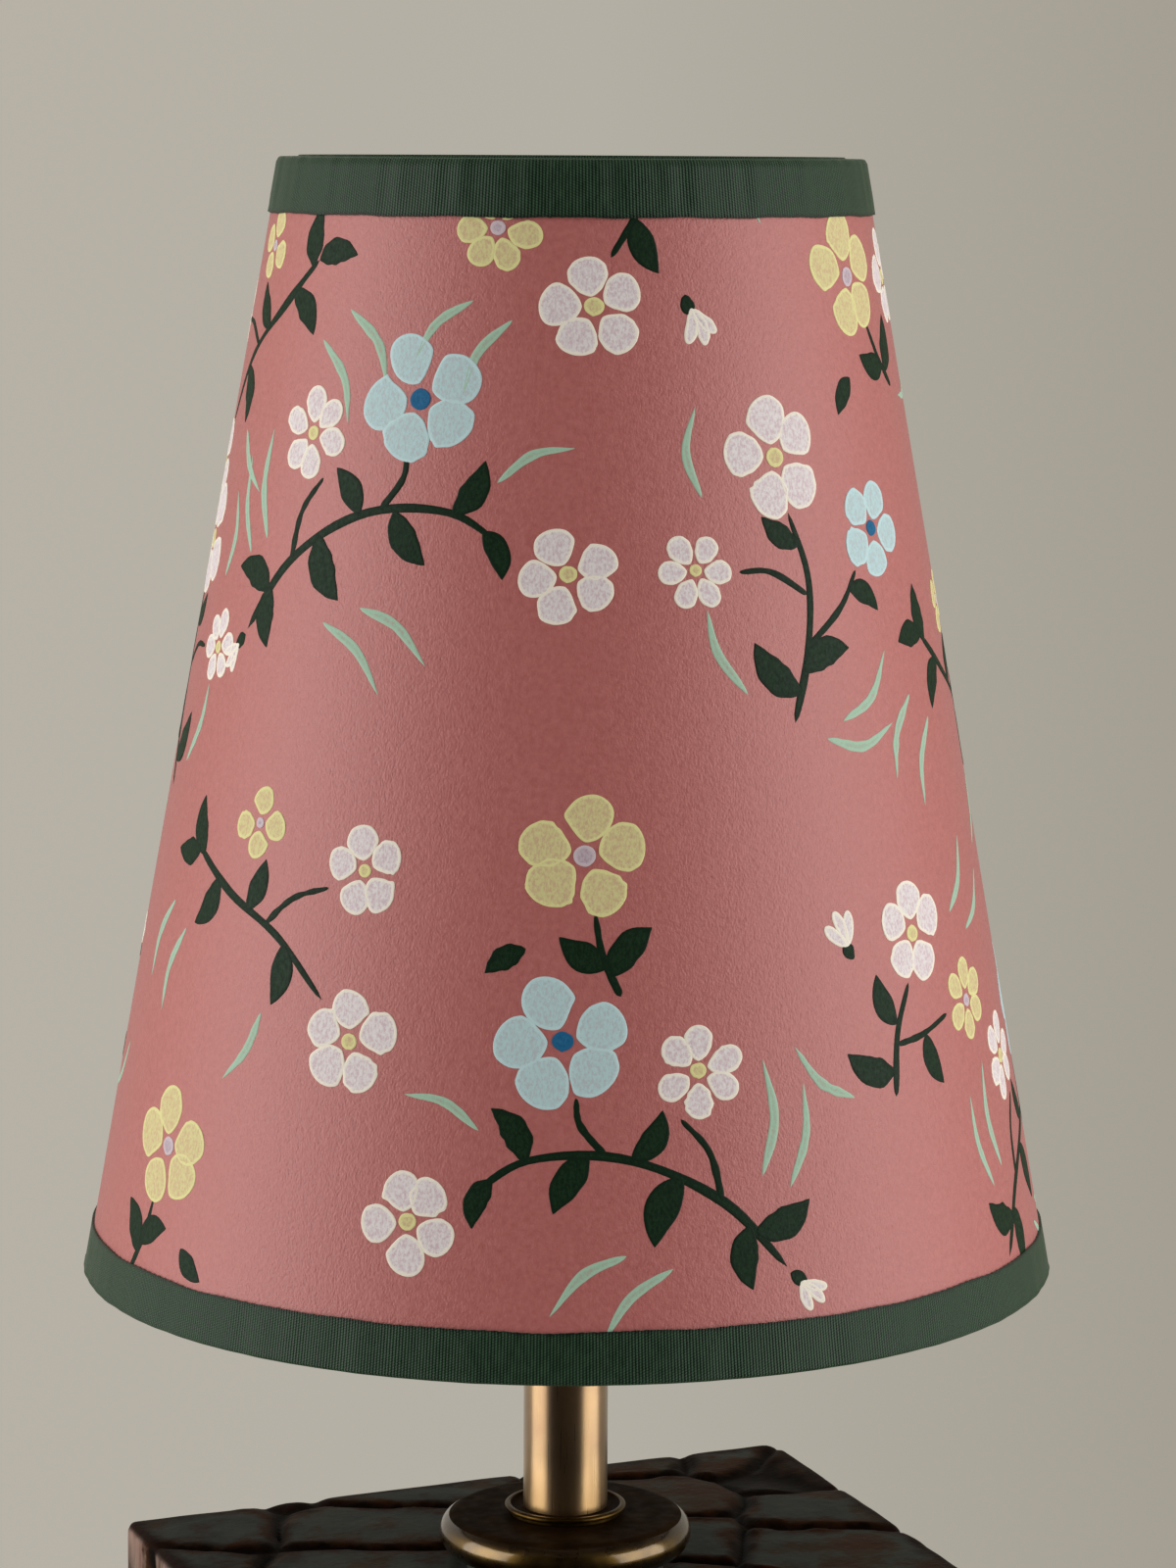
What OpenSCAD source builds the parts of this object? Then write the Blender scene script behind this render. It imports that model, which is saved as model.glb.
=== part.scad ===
// Table lamp: a rectangular glazed stoneware body, a brass neck with a round flange, a switched
// lampholder, a wire shade carrier and a tall tapered card shade edged with ribbon.
// Millimetres, +Z up. The origin is on the table, under the middle of the stem.
// The body's long side lies along X, and the cable leaves at the back, towards +Y.

/* [Stoneware body] */
// Width of the body, along X
body_w = 154; // [125:1:200]
// Depth of the body, along Y
body_d = 126; // [100:1:170]
// Height of the body, from its foot to its top face
body_h = 228.5; // [150:0.5:320]
// Thickness of the side walls
body_wall = 9; // [6:0.5:14]
// Thickness of the top slab
body_top_t = 11; // [8:0.5:16]
// Rounding of the outer edges
body_edge_r = 4; // [2:0.5:8]
// Diameter of the raised seat under the flange
seat_d = 40; // [30:1:48]
// Height of the raised seat
seat_h = 2.5; // [1:0.5:6]
// Height of the cable hole above the body's foot
inlet_h = 24; // [16:1:60]
// Bore for the cable in the grommet
inlet_bore_d = 7.5; // [6:0.1:9]
// Thickness of the felt pads
pad_t = 3; // [1:0.5:5]

/* [Neck] */
// Thickness of the cork washer
cork_t = 1.5; // [1:0.5:3]
// Diameter of the flange
flange_d = 52.8; // [44:0.2:64]
// Thickness of the flange, which has a full round rim
flange_t = 8; // [4:0.5:9]
// Diameter of the collar round the foot of the stem
collar_d = 25.4; // [21:0.2:32]
// Height of the collar above the flange
collar_h = 2.1; // [1.5:0.1:5]
// Outer diameter of the stem tube
stem_d = 17.6; // [14.5:0.1:20]
// Wall of the stem tube
stem_wall = 1.2; // [0.8:0.1:1.6]
// Length of the stem tube
stem_len = 78.5; // [60:0.5:140]
// Outer diameter of the threaded rod
rod_d = 10; // [8:0.1:11]
// Bore of the threaded rod
rod_bore_d = 7; // [5:0.1:7.2]

/* [Lampholder] */
// Outer diameter of the threaded skirt
holder_d = 39.4; // [36:0.1:46]
// Height of the cap below the skirt
cap_h = 30; // [28:0.5:40]
// Height of the skirt above the cap
skirt_h = 32; // [31:0.5:44]
// Thickness of the pressed brass walls
sheet_t = 0.9; // [0.7:0.1:1.2]
// Diameter of the shade rings
shade_ring_d = 53; // [46:1:64]
// Thickness of each shade ring
shade_ring_t = 5.5; // [4:0.5:6.5]
// Diameter of the switch bar
bar_d = 4; // [3:0.1:5]
// Travel of the switch bar
bar_travel = 6; // [4:0.5:8]
// Diameter of the knobs on the switch bar
knob_d = 7.2; // [6:0.2:9]

/* [Bulb] */
// Largest diameter of the glass
bulb_d = 60; // [50:1:71]
// Length of the bulb, from the contact to the top of the glass
bulb_len = 105; // [98:1:125]
// Diameter of the screw cap
screw_d = 26.2; // [25:0.1:26.8]
// Thickness of the glass
glass_t = 0.7; // [0.5:0.1:1]

/* [Shade carrier] */
// Diameter of the carrier's wire
carrier_wire_d = 3; // [2.4:0.1:3.6]
// Height of the carrier, from its seat to the top of its ring
carrier_h = 128; // [110:1:155]
// Space between the bulb and the carrier's wires
bulb_space = 4.5; // [3:0.5:8]
// Number of the carrier's wires, and of the shade's arms
arm_count = 3; // [3:1:4]

/* [Shade] */
// Outer diameter of the shade at its top edge
shade_top_d = 118.4; // [110:1:150]
// Outer diameter of the shade at its bottom edge
shade_bottom_d = 200; // [165:1:250]
// Height of the shade
shade_h = 227; // [180:1:280]
// Depth of the fitter below the shade's top edge
fitter_drop = 25; // [18:1:40]
// Thickness of the laminated card
card_t = 0.8; // [0.6:0.1:1.2]
// Thickness of the ribbon
ribbon_t = 0.5; // [0.4:0.1:0.7]
// Height of the ribbon seen at the top edge
top_trim_h = 11; // [8:0.5:16]
// Height of the ribbon seen at the bottom edge
bottom_trim_h = 10; // [8:0.5:16]
// Diameter of the wire in the shade's rings
ring_wire_d = 3.2; // [2.6:0.1:3.8]

/* [Hidden] */
$fn = 96;
ball_fn = 32;

// Clearances
glue_gap = 0.05;
slip_gap = 0.2;
rest_gap = 0.3;
overrun = 1;

// Body and what is fixed to it
cavity_corner_r = 5;
cavity_w = body_w - 2 * body_wall;
cavity_d = body_d - 2 * body_wall;
foot_z = pad_t;
body_z = foot_z + body_h;
cavity_z = body_z - body_top_t;
seat_z = body_z + seat_h;
pad_margin = 0.5;
pad_d = body_wall - 2 * pad_margin;
inlet_z = foot_z + inlet_h;
grommet_lip = 2.6;
grommet_lip_t = 1.6;
grommet_wall = 1.5;
grommet_hole_d = inlet_bore_d + 2 * grommet_wall;
grommet_gap = 0.1;

// Neck
rod_hole_gap = 1.5;
rod_fit = 0.1;
cork_margin = 2;
cork_z = seat_z;
flange_z = cork_z + cork_t;
collar_z = flange_z + flange_t;
collar_lip_t = 1;
stem_z = collar_z;
holder_z = stem_z + stem_len;
inner_washer_d = 40;
inner_washer_t = 2;
nut_across_flats = 17;
nut_t = 6;
rod_tail = 6;
rod_head = 7;
rod_z = cavity_z - inner_washer_t - nut_t - rod_tail;

// Lampholder, with heights above the foot of its cap
cap_foot_step = 0.6;
cap_foot_d = stem_d + 2 * cap_foot_step;
cap_foot_h = 5;
cap_dome_h = 12;
cap_lap = 3.2;
skirt_z = holder_z + cap_h;
bar_margin = 1.3;
bar_z = skirt_z - cap_lap - bar_margin - bar_d / 2;
bar_hole_gap = 0.3;
knob_len = 7;
knob_neck = 1.2;
core_gap = 0.3;
core_floor_h = 16;
liner_t = 0.5;
liner_gap = 0.1;
skirt_top = skirt_z + skirt_h;
skirt_lip_t = 1.4;
skirt_bead_h = 1.5;
skirt_bead = 0.8;
core_z = holder_z + cap_foot_h + sheet_t + cap_dome_h + core_gap;
core_top = skirt_top - skirt_lip_t - core_gap;
core_floor_z = core_z + core_floor_h;
core_r = holder_d / 2 - 2 * sheet_t - core_gap;
screw_gap = 0.5;
liner_r = screw_d / 2 + screw_gap;
ring_clear = 0.05;
ring_flange_t = 1.6;
ring_step = 1.8;
ring_flute_d = 3;
ring_flute_depth = 0.8;
ring_flute_count = 20;
ring_above_cap = 14;
lower_ring_z = skirt_z + ring_above_cap;
contact_w = 5;
contact_t = 0.5;
contact_rise = 1.6;
terminal_d = 3.5;
terminal_len = 3;
terminal_x = 9;
terminal_sink = 0.6;
terminal_y = sqrt(core_r * core_r - terminal_x * terminal_x) - terminal_sink;
terminal_z = core_z + terminal_d;
rod_end_z = holder_z + rod_head;

// Shade carrier
seat_t = 1.2;
carrier_seat_z = lower_ring_z + shade_ring_t + slip_gap;
upper_ring_z = carrier_seat_z + seat_t + slip_gap;
carrier_r = bulb_d / 2 + bulb_space + carrier_wire_d / 2;
carrier_foot_gap = 0.8;
carrier_foot_lap = 3.2;
carrier_foot_r = shade_ring_d / 2 + carrier_foot_gap;
carrier_seat_r = carrier_foot_r + carrier_foot_lap;
carrier_bend_r = 5;
carrier_top = carrier_seat_z + carrier_h;
carrier_foot_z = carrier_seat_z + seat_t + glue_gap + carrier_wire_d / 2;
carrier_ring_z = carrier_top - carrier_wire_d / 2;
carrier_turn = 30;

// Bulb, with heights above its contact
bulb_z = core_floor_z + contact_t + contact_rise + rest_gap;
bulb_tip_h = 1.8;
bulb_tip_d = 9;
bulb_insulator_h = 6.5;
bulb_cap_top = 25.5;
bulb_cap_t = 0.35;
bulb_neck_step = 1;
bulb_neck_r = screw_d / 2 + bulb_neck_step;
bulb_neck_h = 27;
bulb_ball_r = bulb_d / 2;
bulb_ball_h = bulb_len - bulb_ball_r;
bulb_shoulder_angle = -35;
bulb_shoulder_pull = 13;
mount_foot_h = 19;
mount_press_h = 33;
mount_press_r = 4;
mount_rod_r = 1.8;
filament_d = 1.6;
filament_len = 34;
filament_r = 10;
filament_below_middle = 20;
filament_h = bulb_ball_h - filament_below_middle;
filament_count = 4;
support_d = 0.8;

// Shade
fitter_z = carrier_top + rest_gap;
shade_top = fitter_z + fitter_drop;
shade_z = shade_top - shade_h;
shade_slope = (shade_bottom_d - shade_top_d) / 2 / shade_h;
slant = sqrt(1 + shade_slope * shade_slope);
fitter_t = 1;
fitter_lip_h = 2.8;
fitter_lap = 1.1;
fitter_side_gap = 0.9;
fitter_hole_r = carrier_r - carrier_wire_d / 2 - fitter_lap;
fitter_lip_r = carrier_r + carrier_wire_d / 2 + fitter_side_gap;
trim_round = 0.3;
trim_round_r = ribbon_t + trim_round;
top_fold_h = 6;
bottom_fold_h = 6;
top_ring_z = shade_top - ribbon_t - glue_gap - ring_wire_d / 2;
bottom_ring_z = shade_z + ribbon_t + glue_gap + ring_wire_d / 2;
top_ring_r = card_inner_r(top_ring_z) - (ring_wire_d / 2 + glue_gap) * slant;
bottom_ring_r = card_inner_r(bottom_ring_z) - (ring_wire_d / 2 + glue_gap) * slant;
arm_d = 2.6;
arm_knuckle = 0.05;
arm_setback = 1;
arm_straight = 2;
arm_z = fitter_z + fitter_t + glue_gap + arm_d / 2 + arm_knuckle;
arm_rise = top_ring_z - arm_z;
arm_start_r = fitter_hole_r + arm_setback;
arm_angle = round(atan2(arm_rise, top_ring_r - fitter_lip_r - fitter_t - arm_straight));
arm_corner_r = top_ring_r - arm_rise / tan(arm_angle);
arm_reach = arm_rise / sin(arm_angle);
arm_turn = carrier_turn + 180 / arm_count;

// Radius of the ribbon's outer face at a height
function shade_r(z) = shade_bottom_d / 2 - (z - shade_z) * shade_slope;
// Radius of the card's outer and inner faces at a height
function card_outer_r(z) = shade_r(z) - ribbon_t - glue_gap;
function card_inner_r(z) = card_outer_r(z) - card_t;

// Points along an arc, from one angle to another
function arc(centre, r, from, to, steps) = [
    for (i = [0 : steps])
        let (a = from + (to - from) * i / steps)
            [centre[0] + r * cos(a), centre[1] + r * sin(a)]
];

// Points along a cubic curve with two handles
function curve(p0, p1, p2, p3, steps) = [
    for (i = [0 : steps])
        let (t = i / steps, s = 1 - t)
            s * s * s * p0 + 3 * s * s * t * p1 + 3 * s * t * t * p2 + t * t * t * p3
];

// Outline of a list read backwards
function reversed(list) = [for (i = [len(list) - 1 : -1 : 0]) list[i]];

// A flat ring or tube standing on z
module tube(outer_r, inner_r, z, h) {
    translate([0, 0, z])
        difference() {
            cylinder(r = outer_r, h = h);
            translate([0, 0, -overrun])
                cylinder(r = inner_r, h = h + 2 * overrun);
        }
}

// A ring of round wire whose centre line has radius r at height z
module wire_ring(r, d, z) {
    translate([0, 0, z])
        rotate_extrude()
            translate([r, 0])
                circle(d = d);
}

// Copies round the axis
module around(count, turn) {
    for (i = [0 : count - 1])
        rotate([0, 0, turn + i * 360 / count])
            children();
}

// Wire that runs out along X from r0 at height z, then bends upright at radius r1
module upright_wire(r0, r1, z, d, bend_r, rise) {
    run = r1 - bend_r - r0;
    translate([r1 - bend_r, 0, z + bend_r]) {
        translate([-run, 0, -bend_r])
            rotate([0, 90, 0])
                cylinder(d = d, h = run);
        rotate([90, 0, 0])
            rotate([0, 0, -90])
                rotate_extrude(angle = 90)
                    translate([bend_r, 0])
                        circle(d = d);
        translate([bend_r, 0, 0])
            cylinder(d = d, h = rise - bend_r);
    }
}

// A block with rounded upright corners
module rounded_prism(w, d, r, z, h) {
    translate([0, 0, z])
        linear_extrude(height = h)
            union() {
                square([w - 2 * r, d], center = true);
                square([w, d - 2 * r], center = true);
                for (x = [-1, 1], y = [-1, 1])
                    translate([x * (w / 2 - r), y * (d / 2 - r)])
                        circle(r = r);
            }
}

// Felt pads under the corners of the foot
module felt_pads() {
    color([0.10, 0.10, 0.09])
        for (x = [-1, 1], y = [-1, 1])
            translate([x * (body_w - body_wall) / 2, y * (body_d - body_wall) / 2, 0])
                cylinder(d = pad_d, h = pad_t);
}

// Hollow stoneware body, open underneath, with a raised seat for the flange
module stoneware_body() {
    corner_x = body_w / 2 - body_edge_r;
    corner_y = body_d / 2 - body_edge_r;
    color([0.20, 0.16, 0.14])
        difference() {
            union() {
                hull()
                    for (x = [-1, 1], y = [-1, 1])
                        translate([x * corner_x, y * corner_y, 0]) {
                            translate([0, 0, body_z - body_edge_r])
                                sphere(r = body_edge_r, $fn = ball_fn);
                            translate([0, 0, foot_z])
                                cylinder(r = body_edge_r, h = body_edge_r, $fn = ball_fn);
                        }
                translate([0, 0, cavity_z])
                    cylinder(d = seat_d, h = seat_z - cavity_z);
            }
            rounded_prism(cavity_w, cavity_d, cavity_corner_r, foot_z - overrun,
                          cavity_z - foot_z + overrun);
            translate([0, 0, cavity_z - overrun])
                cylinder(r = rod_d / 2 + rod_hole_gap, h = seat_z - cavity_z + 2 * overrun);
            translate([0, body_d / 2 + overrun, inlet_z])
                rotate([90, 0, 0])
                    cylinder(d = grommet_hole_d, h = body_wall + 2 * overrun);
        }
}

// Rubber grommet in the cable hole, with a lip on each side of the wall
module cable_grommet() {
    inner_r = inlet_bore_d / 2;
    hole_r = grommet_hole_d / 2 - grommet_gap;
    lip_r = hole_r + grommet_lip;
    wall = body_wall + 2 * grommet_gap;
    color([0.07, 0.07, 0.07])
        translate([0, body_d / 2 + grommet_gap + grommet_lip_t, inlet_z])
            rotate([90, 0, 0])
                rotate_extrude()
                    polygon([
                        [inner_r, 0], [lip_r - grommet_lip_t / 2, 0], [lip_r, grommet_lip_t / 2],
                        [lip_r, grommet_lip_t], [hole_r, grommet_lip_t],
                        [hole_r, grommet_lip_t + wall], [lip_r, grommet_lip_t + wall],
                        [lip_r, 1.5 * grommet_lip_t + wall],
                        [lip_r - grommet_lip_t / 2, 2 * grommet_lip_t + wall],
                        [inner_r, 2 * grommet_lip_t + wall]
                    ]);
}

// Cork washer between the stoneware and the flange
module cork_washer() {
    color([0.62, 0.45, 0.28])
        tube(seat_d / 2 - cork_margin, rod_d / 2 + rod_hole_gap, cork_z, cork_t);
}

// Turned brass flange with a full round rim
module brass_flange() {
    rim_r = flange_t / 2;
    color([0.30, 0.22, 0.10])
        translate([0, 0, flange_z])
            rotate_extrude()
                polygon(concat(
                    [[rod_d / 2 + rod_fit, 0]],
                    arc([flange_d / 2 - rim_r, rim_r], rim_r, -90, 90, 14),
                    [[rod_d / 2 + rod_fit, flange_t]]
                ));
}

// Collar that the stem stands in, with a thin rolled lip
module stem_collar() {
    lip_r = collar_lip_t / 2;
    color([0.36, 0.27, 0.13])
        translate([0, 0, collar_z])
            rotate_extrude()
                polygon(concat(
                    [[stem_d / 2 + glue_gap, 0], [collar_d / 2 - collar_lip_t, 0]],
                    [[collar_d / 2 - collar_lip_t, collar_h - collar_lip_t]],
                    arc([collar_d / 2 - lip_r, collar_h - lip_r], lip_r, -90, 90, 8),
                    [[stem_d / 2 + glue_gap, collar_h]]
                ));
}

// Brushed brass tube over the rod
module stem_tube() {
    color([0.62, 0.45, 0.24])
        tube(stem_d / 2, stem_d / 2 - stem_wall, stem_z, stem_len);
}

// Hollow threaded rod that holds the neck together and carries the leads
module threaded_rod() {
    color([0.60, 0.58, 0.52])
        tube(rod_d / 2, rod_bore_d / 2, rod_z, rod_end_z - rod_z);
}

// Steel washer under the top slab
module inner_washer() {
    color([0.62, 0.62, 0.62])
        tube(inner_washer_d / 2, rod_d / 2 + rod_fit, cavity_z - inner_washer_t, inner_washer_t);
}

// Hexagon nut on the rod, inside the body
module inner_nut() {
    nut_r = nut_across_flats / 2 / cos(30);
    color([0.66, 0.66, 0.64])
        translate([0, 0, cavity_z - inner_washer_t - nut_t])
            difference() {
                cylinder(r = nut_r, h = nut_t, $fn = 6);
                translate([0, 0, -overrun])
                    cylinder(r = rod_d / 2 + glue_gap, h = nut_t + 2 * overrun);
            }
}

// Cup-shaped cap of the lampholder, with holes for the switch bar
module holder_cap() {
    foot_r = cap_foot_d / 2;
    cap_r = holder_d / 2;
    inner_r = cap_r - sheet_t;
    steps = 10;
    color([0.68, 0.50, 0.26])
        difference() {
            translate([0, 0, holder_z])
                rotate_extrude()
                    polygon(concat(
                        [[rod_d / 2 + glue_gap, 0], [foot_r, 0], [foot_r, cap_foot_h]],
                        [for (i = [1 : steps])
                            let (a = 90 * i / steps)
                                [foot_r + (cap_r - foot_r) * sin(a),
                                 cap_foot_h + cap_dome_h * (1 - cos(a))]],
                        [[cap_r, cap_h], [inner_r, cap_h]],
                        [for (i = [steps : -1 : 1])
                            let (a = 90 * i / steps)
                                [foot_r + (inner_r - foot_r) * sin(a),
                                 cap_foot_h + sheet_t + cap_dome_h * (1 - cos(a))]],
                        [[rod_d / 2 + glue_gap, cap_foot_h + sheet_t]]
                    ));
            translate([-cap_r - overrun, 0, bar_z])
                rotate([0, 90, 0])
                    cylinder(r = bar_d / 2 + bar_hole_gap, h = 2 * (cap_r + overrun));
        }
}

// Porcelain core: a floor that carries the contacts and a cup that holds the screw liner
module holder_core() {
    cup_r = liner_r + liner_t + liner_gap;
    color([0.90, 0.88, 0.82])
        difference() {
            tube(core_r, rod_bore_d / 2, core_z, core_top - core_z);
            translate([0, 0, core_floor_z])
                cylinder(r = cup_r, h = core_top - core_floor_z + overrun);
            translate([-core_r - overrun, 0, bar_z])
                rotate([0, 90, 0])
                    cylinder(r = bar_d / 2 + bar_hole_gap, h = 2 * (core_r + overrun));
            for (x = [-1, 1])
                translate([x * terminal_x, -core_r - overrun, terminal_z])
                    rotate([-90, 0, 0])
                        cylinder(d = terminal_d + 2 * glue_gap,
                                 h = core_r + overrun - terminal_y + terminal_len);
        }
}

// Threaded brass skirt that screws into the cap and takes the shade rings
module holder_skirt() {
    outer_r = holder_d / 2;
    neck_r = outer_r - sheet_t - glue_gap;
    inner_r = core_r + core_gap / 2;
    color([0.68, 0.50, 0.26])
        rotate_extrude()
            polygon([
                [inner_r, skirt_z - cap_lap], [neck_r, skirt_z - cap_lap],
                [neck_r, skirt_z + glue_gap], [outer_r + skirt_bead, skirt_z + glue_gap],
                [outer_r + skirt_bead, skirt_z + skirt_bead_h],
                [outer_r, skirt_z + skirt_bead_h + skirt_bead / 2],
                [outer_r, skirt_top - skirt_lip_t / 2], [outer_r - skirt_lip_t / 2, skirt_top],
                [liner_r + liner_t, skirt_top], [liner_r + liner_t, skirt_top - skirt_lip_t],
                [inner_r, skirt_top - skirt_lip_t]
            ]);
}

// Brass screw liner that grips the bulb's cap
module screw_liner() {
    color([0.74, 0.58, 0.30])
        tube(liner_r + liner_t, liner_r, core_floor_z, core_top - core_floor_z);
}

// Springy tongue that meets the bulb's end contact
module centre_contact() {
    reach = liner_r - 2 * liner_gap - contact_w / 2;
    color([0.80, 0.62, 0.32])
        translate([0, 0, core_floor_z]) {
            translate([-reach, -contact_w / 2, 0])
                cube([reach - contact_w / 2, contact_w, contact_t]);
            translate([0, contact_w / 2, 0])
                rotate([90, 0, 0])
                    linear_extrude(height = contact_w)
                        polygon([
                            [-contact_w / 2, 0], [-contact_w / 2, contact_t],
                            [-contact_t, contact_t + contact_rise],
                            [contact_w / 2, contact_t + contact_rise],
                            [contact_w / 2, contact_rise], [0, contact_rise],
                            [-contact_w / 2 + contact_t, 0]
                        ]);
        }
}

// Tongue that joins the screw liner to its terminal
module side_contact() {
    tab_h = contact_w;
    color([0.80, 0.62, 0.32])
        intersection() {
            tube(liner_r - glue_gap, liner_r - glue_gap - contact_t, core_floor_z, tab_h);
            translate([0, -contact_w / 2, core_floor_z - overrun])
                cube([liner_r, contact_w, tab_h + 2 * overrun]);
        }
}

// Screws of the two terminals, in the foot of the core
module terminal_screws() {
    color([0.75, 0.70, 0.55])
        for (x = [-1, 1])
            translate([x * terminal_x, -terminal_y, terminal_z])
                rotate([-90, 0, 0])
                    cylinder(d = terminal_d, h = terminal_len);
}

// Brass ring, threaded on the skirt: a thin flange below a fluted grip
module shade_ring() {
    inner_r = holder_d / 2 + ring_clear;
    flange_r = shade_ring_d / 2;
    grip_r = flange_r - ring_step;
    difference() {
        rotate_extrude()
            polygon([
                [inner_r, 0], [flange_r, 0], [flange_r, ring_flange_t], [grip_r, ring_flange_t],
                [grip_r, shade_ring_t], [inner_r, shade_ring_t]
            ]);
        around(ring_flute_count, 0)
            translate([grip_r - ring_flute_depth + ring_flute_d / 2, 0, ring_flange_t])
                cylinder(d = ring_flute_d, h = shade_ring_t - ring_flange_t + overrun);
    }
}

// Ring under the carrier, with its grip downwards
module lower_shade_ring() {
    color([0.66, 0.48, 0.25])
        translate([0, 0, lower_ring_z + shade_ring_t])
            rotate([180, 0, 0])
                shade_ring();
}

// Ring over the carrier, with its grip upwards
module upper_shade_ring() {
    color([0.66, 0.48, 0.25])
        translate([0, 0, upper_ring_z])
            shade_ring();
}

// Push bar through the lampholder, standing at the off end of its travel
module switch_bar() {
    half = holder_d / 2 + slip_gap + bar_travel / 2;
    color([0.72, 0.54, 0.28])
        translate([-half - bar_travel / 2, 0, bar_z])
            rotate([0, 90, 0])
                cylinder(d = bar_d, h = 2 * half);
}

// Turned knobs on the two ends of the push bar
module switch_knobs() {
    half = holder_d / 2 + slip_gap + bar_travel / 2;
    r = knob_d / 2;
    color([0.72, 0.54, 0.28])
        translate([-bar_travel / 2, 0, bar_z])
            for (side = [0, 180])
                rotate([0, 90, side])
                    translate([0, 0, half])
                        rotate_extrude()
                            polygon(concat(
                                [[0, 0], [bar_d / 2 + knob_neck, 0], [bar_d / 2 + knob_neck, knob_neck]],
                                [[r, 2 * knob_neck]],
                                arc([r - knob_neck, knob_len - knob_neck], knob_neck, 0, 90, 6),
                                [[0, knob_len]]
                            ));
}

// Washer of the carrier, clamped between the two shade rings
module carrier_seat() {
    color([0.70, 0.52, 0.27])
        tube(carrier_seat_r, holder_d / 2 + rest_gap, carrier_seat_z, seat_t);
}

// Wires of the carrier, up and round the bulb
module carrier_wires() {
    color([0.70, 0.52, 0.27])
        around(arm_count, carrier_turn)
            upright_wire(carrier_foot_r, carrier_r, carrier_foot_z, carrier_wire_d, carrier_bend_r,
                         carrier_ring_z - carrier_wire_d / 2 - glue_gap - carrier_foot_z);
}

// Ring on which the shade's fitter rests
module carrier_ring() {
    color([0.70, 0.52, 0.27])
        wire_ring(carrier_r, carrier_wire_d, carrier_ring_z);
}

// Outline of the glass from its neck to its top, drawn in by inset
function glass_outline(inset) =
    let (
        ball_r = bulb_ball_r - inset,
        neck_r = bulb_neck_r - inset,
        shoulder = [ball_r * cos(bulb_shoulder_angle), bulb_ball_h + ball_r * sin(bulb_shoulder_angle)],
        along = [-sin(bulb_shoulder_angle), cos(bulb_shoulder_angle)]
    )
    concat(
        curve([neck_r, bulb_neck_h], [neck_r, bulb_neck_h + bulb_shoulder_pull],
              shoulder - bulb_shoulder_pull * along, shoulder, 8),
        [for (i = [1 : 12])
            let (a = bulb_shoulder_angle + (90 - bulb_shoulder_angle) * i / 12)
                [ball_r * cos(a), bulb_ball_h + ball_r * sin(a)]]
    );

// Glass envelope, cemented into the cap by its neck
module bulb_glass() {
    seal_r = screw_d / 2 - bulb_cap_t - glue_gap;
    color([0.92, 0.92, 0.90, 0.4])
        translate([0, 0, bulb_z])
            rotate_extrude()
                polygon(concat(
                    [[seal_r - glass_t, mount_foot_h], [seal_r, mount_foot_h]],
                    [[seal_r, bulb_cap_top + glue_gap]],
                    glass_outline(0),
                    reversed(glass_outline(glass_t)),
                    [[seal_r - glass_t, bulb_cap_top + glue_gap]]
                ));
}

// Screw cap of the bulb
module bulb_cap() {
    color([0.78, 0.76, 0.70])
        tube(screw_d / 2, screw_d / 2 - bulb_cap_t, bulb_z + bulb_insulator_h,
             bulb_cap_top - bulb_insulator_h);
}

// Black glass insulator at the foot of the cap
module bulb_insulator() {
    color([0.08, 0.08, 0.09])
        translate([0, 0, bulb_z])
            rotate_extrude()
                polygon([
                    [0, bulb_tip_h], [bulb_tip_d / 2, bulb_tip_h],
                    [screw_d / 2 - bulb_cap_t, bulb_insulator_h - bulb_tip_h / 2],
                    [screw_d / 2 - bulb_cap_t, bulb_insulator_h],
                    [0, bulb_insulator_h]
                ]);
}

// Solder contact in the middle of the insulator
module bulb_contact() {
    r = bulb_tip_d / 2;
    color([0.70, 0.70, 0.68])
        translate([0, 0, bulb_z])
            rotate_extrude()
                polygon([
                    [0, 0], [r / 3, 0], [r * 2 / 3, bulb_tip_h / 4], [r, bulb_tip_h], [0, bulb_tip_h]
                ]);
}

// Glass mount inside the bulb, with its foot, press and rod
module bulb_mount() {
    foot_r = screw_d / 2 - bulb_cap_t - glass_t - 2 * glue_gap;
    top_h = filament_h + filament_len + filament_d;
    color([0.86, 0.88, 0.86, 0.5])
        translate([0, 0, bulb_z])
            rotate_extrude()
                polygon(concat(
                    [[0, mount_foot_h], [foot_r, mount_foot_h]],
                    curve([foot_r, mount_foot_h + glass_t], [foot_r / 2, mount_foot_h + glass_t],
                          [mount_press_r, mount_foot_h + mount_press_r],
                          [mount_press_r, mount_press_h], 5),
                    [[mount_rod_r, mount_press_h + mount_press_r], [mount_rod_r, top_h], [0, top_h]]
                ));
}

// Upright filaments and the wires that carry them from the rod
module bulb_filaments() {
    color([0.95, 0.80, 0.35])
        translate([0, 0, bulb_z])
            around(filament_count, 0) {
                translate([filament_r, 0, filament_h])
                    cylinder(d = filament_d, h = filament_len);
                for (h = [0, filament_len - support_d])
                    translate([mount_rod_r + glue_gap, 0, filament_h + h + support_d / 2])
                        rotate([0, 90, 0])
                            cylinder(d = support_d, h = filament_r - mount_rod_r - glue_gap);
            }
}

// Tapered shell of laminated card
module shade_card() {
    z0 = shade_z + ribbon_t + glue_gap;
    z1 = shade_top - ribbon_t - glue_gap;
    color([0.66, 0.33, 0.32])
        rotate_extrude($fn = 180)
            polygon([
                [card_inner_r(z0), z0], [card_outer_r(z0), z0],
                [card_outer_r(z1), z1], [card_inner_r(z1), z1]
            ]);
}

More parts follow.
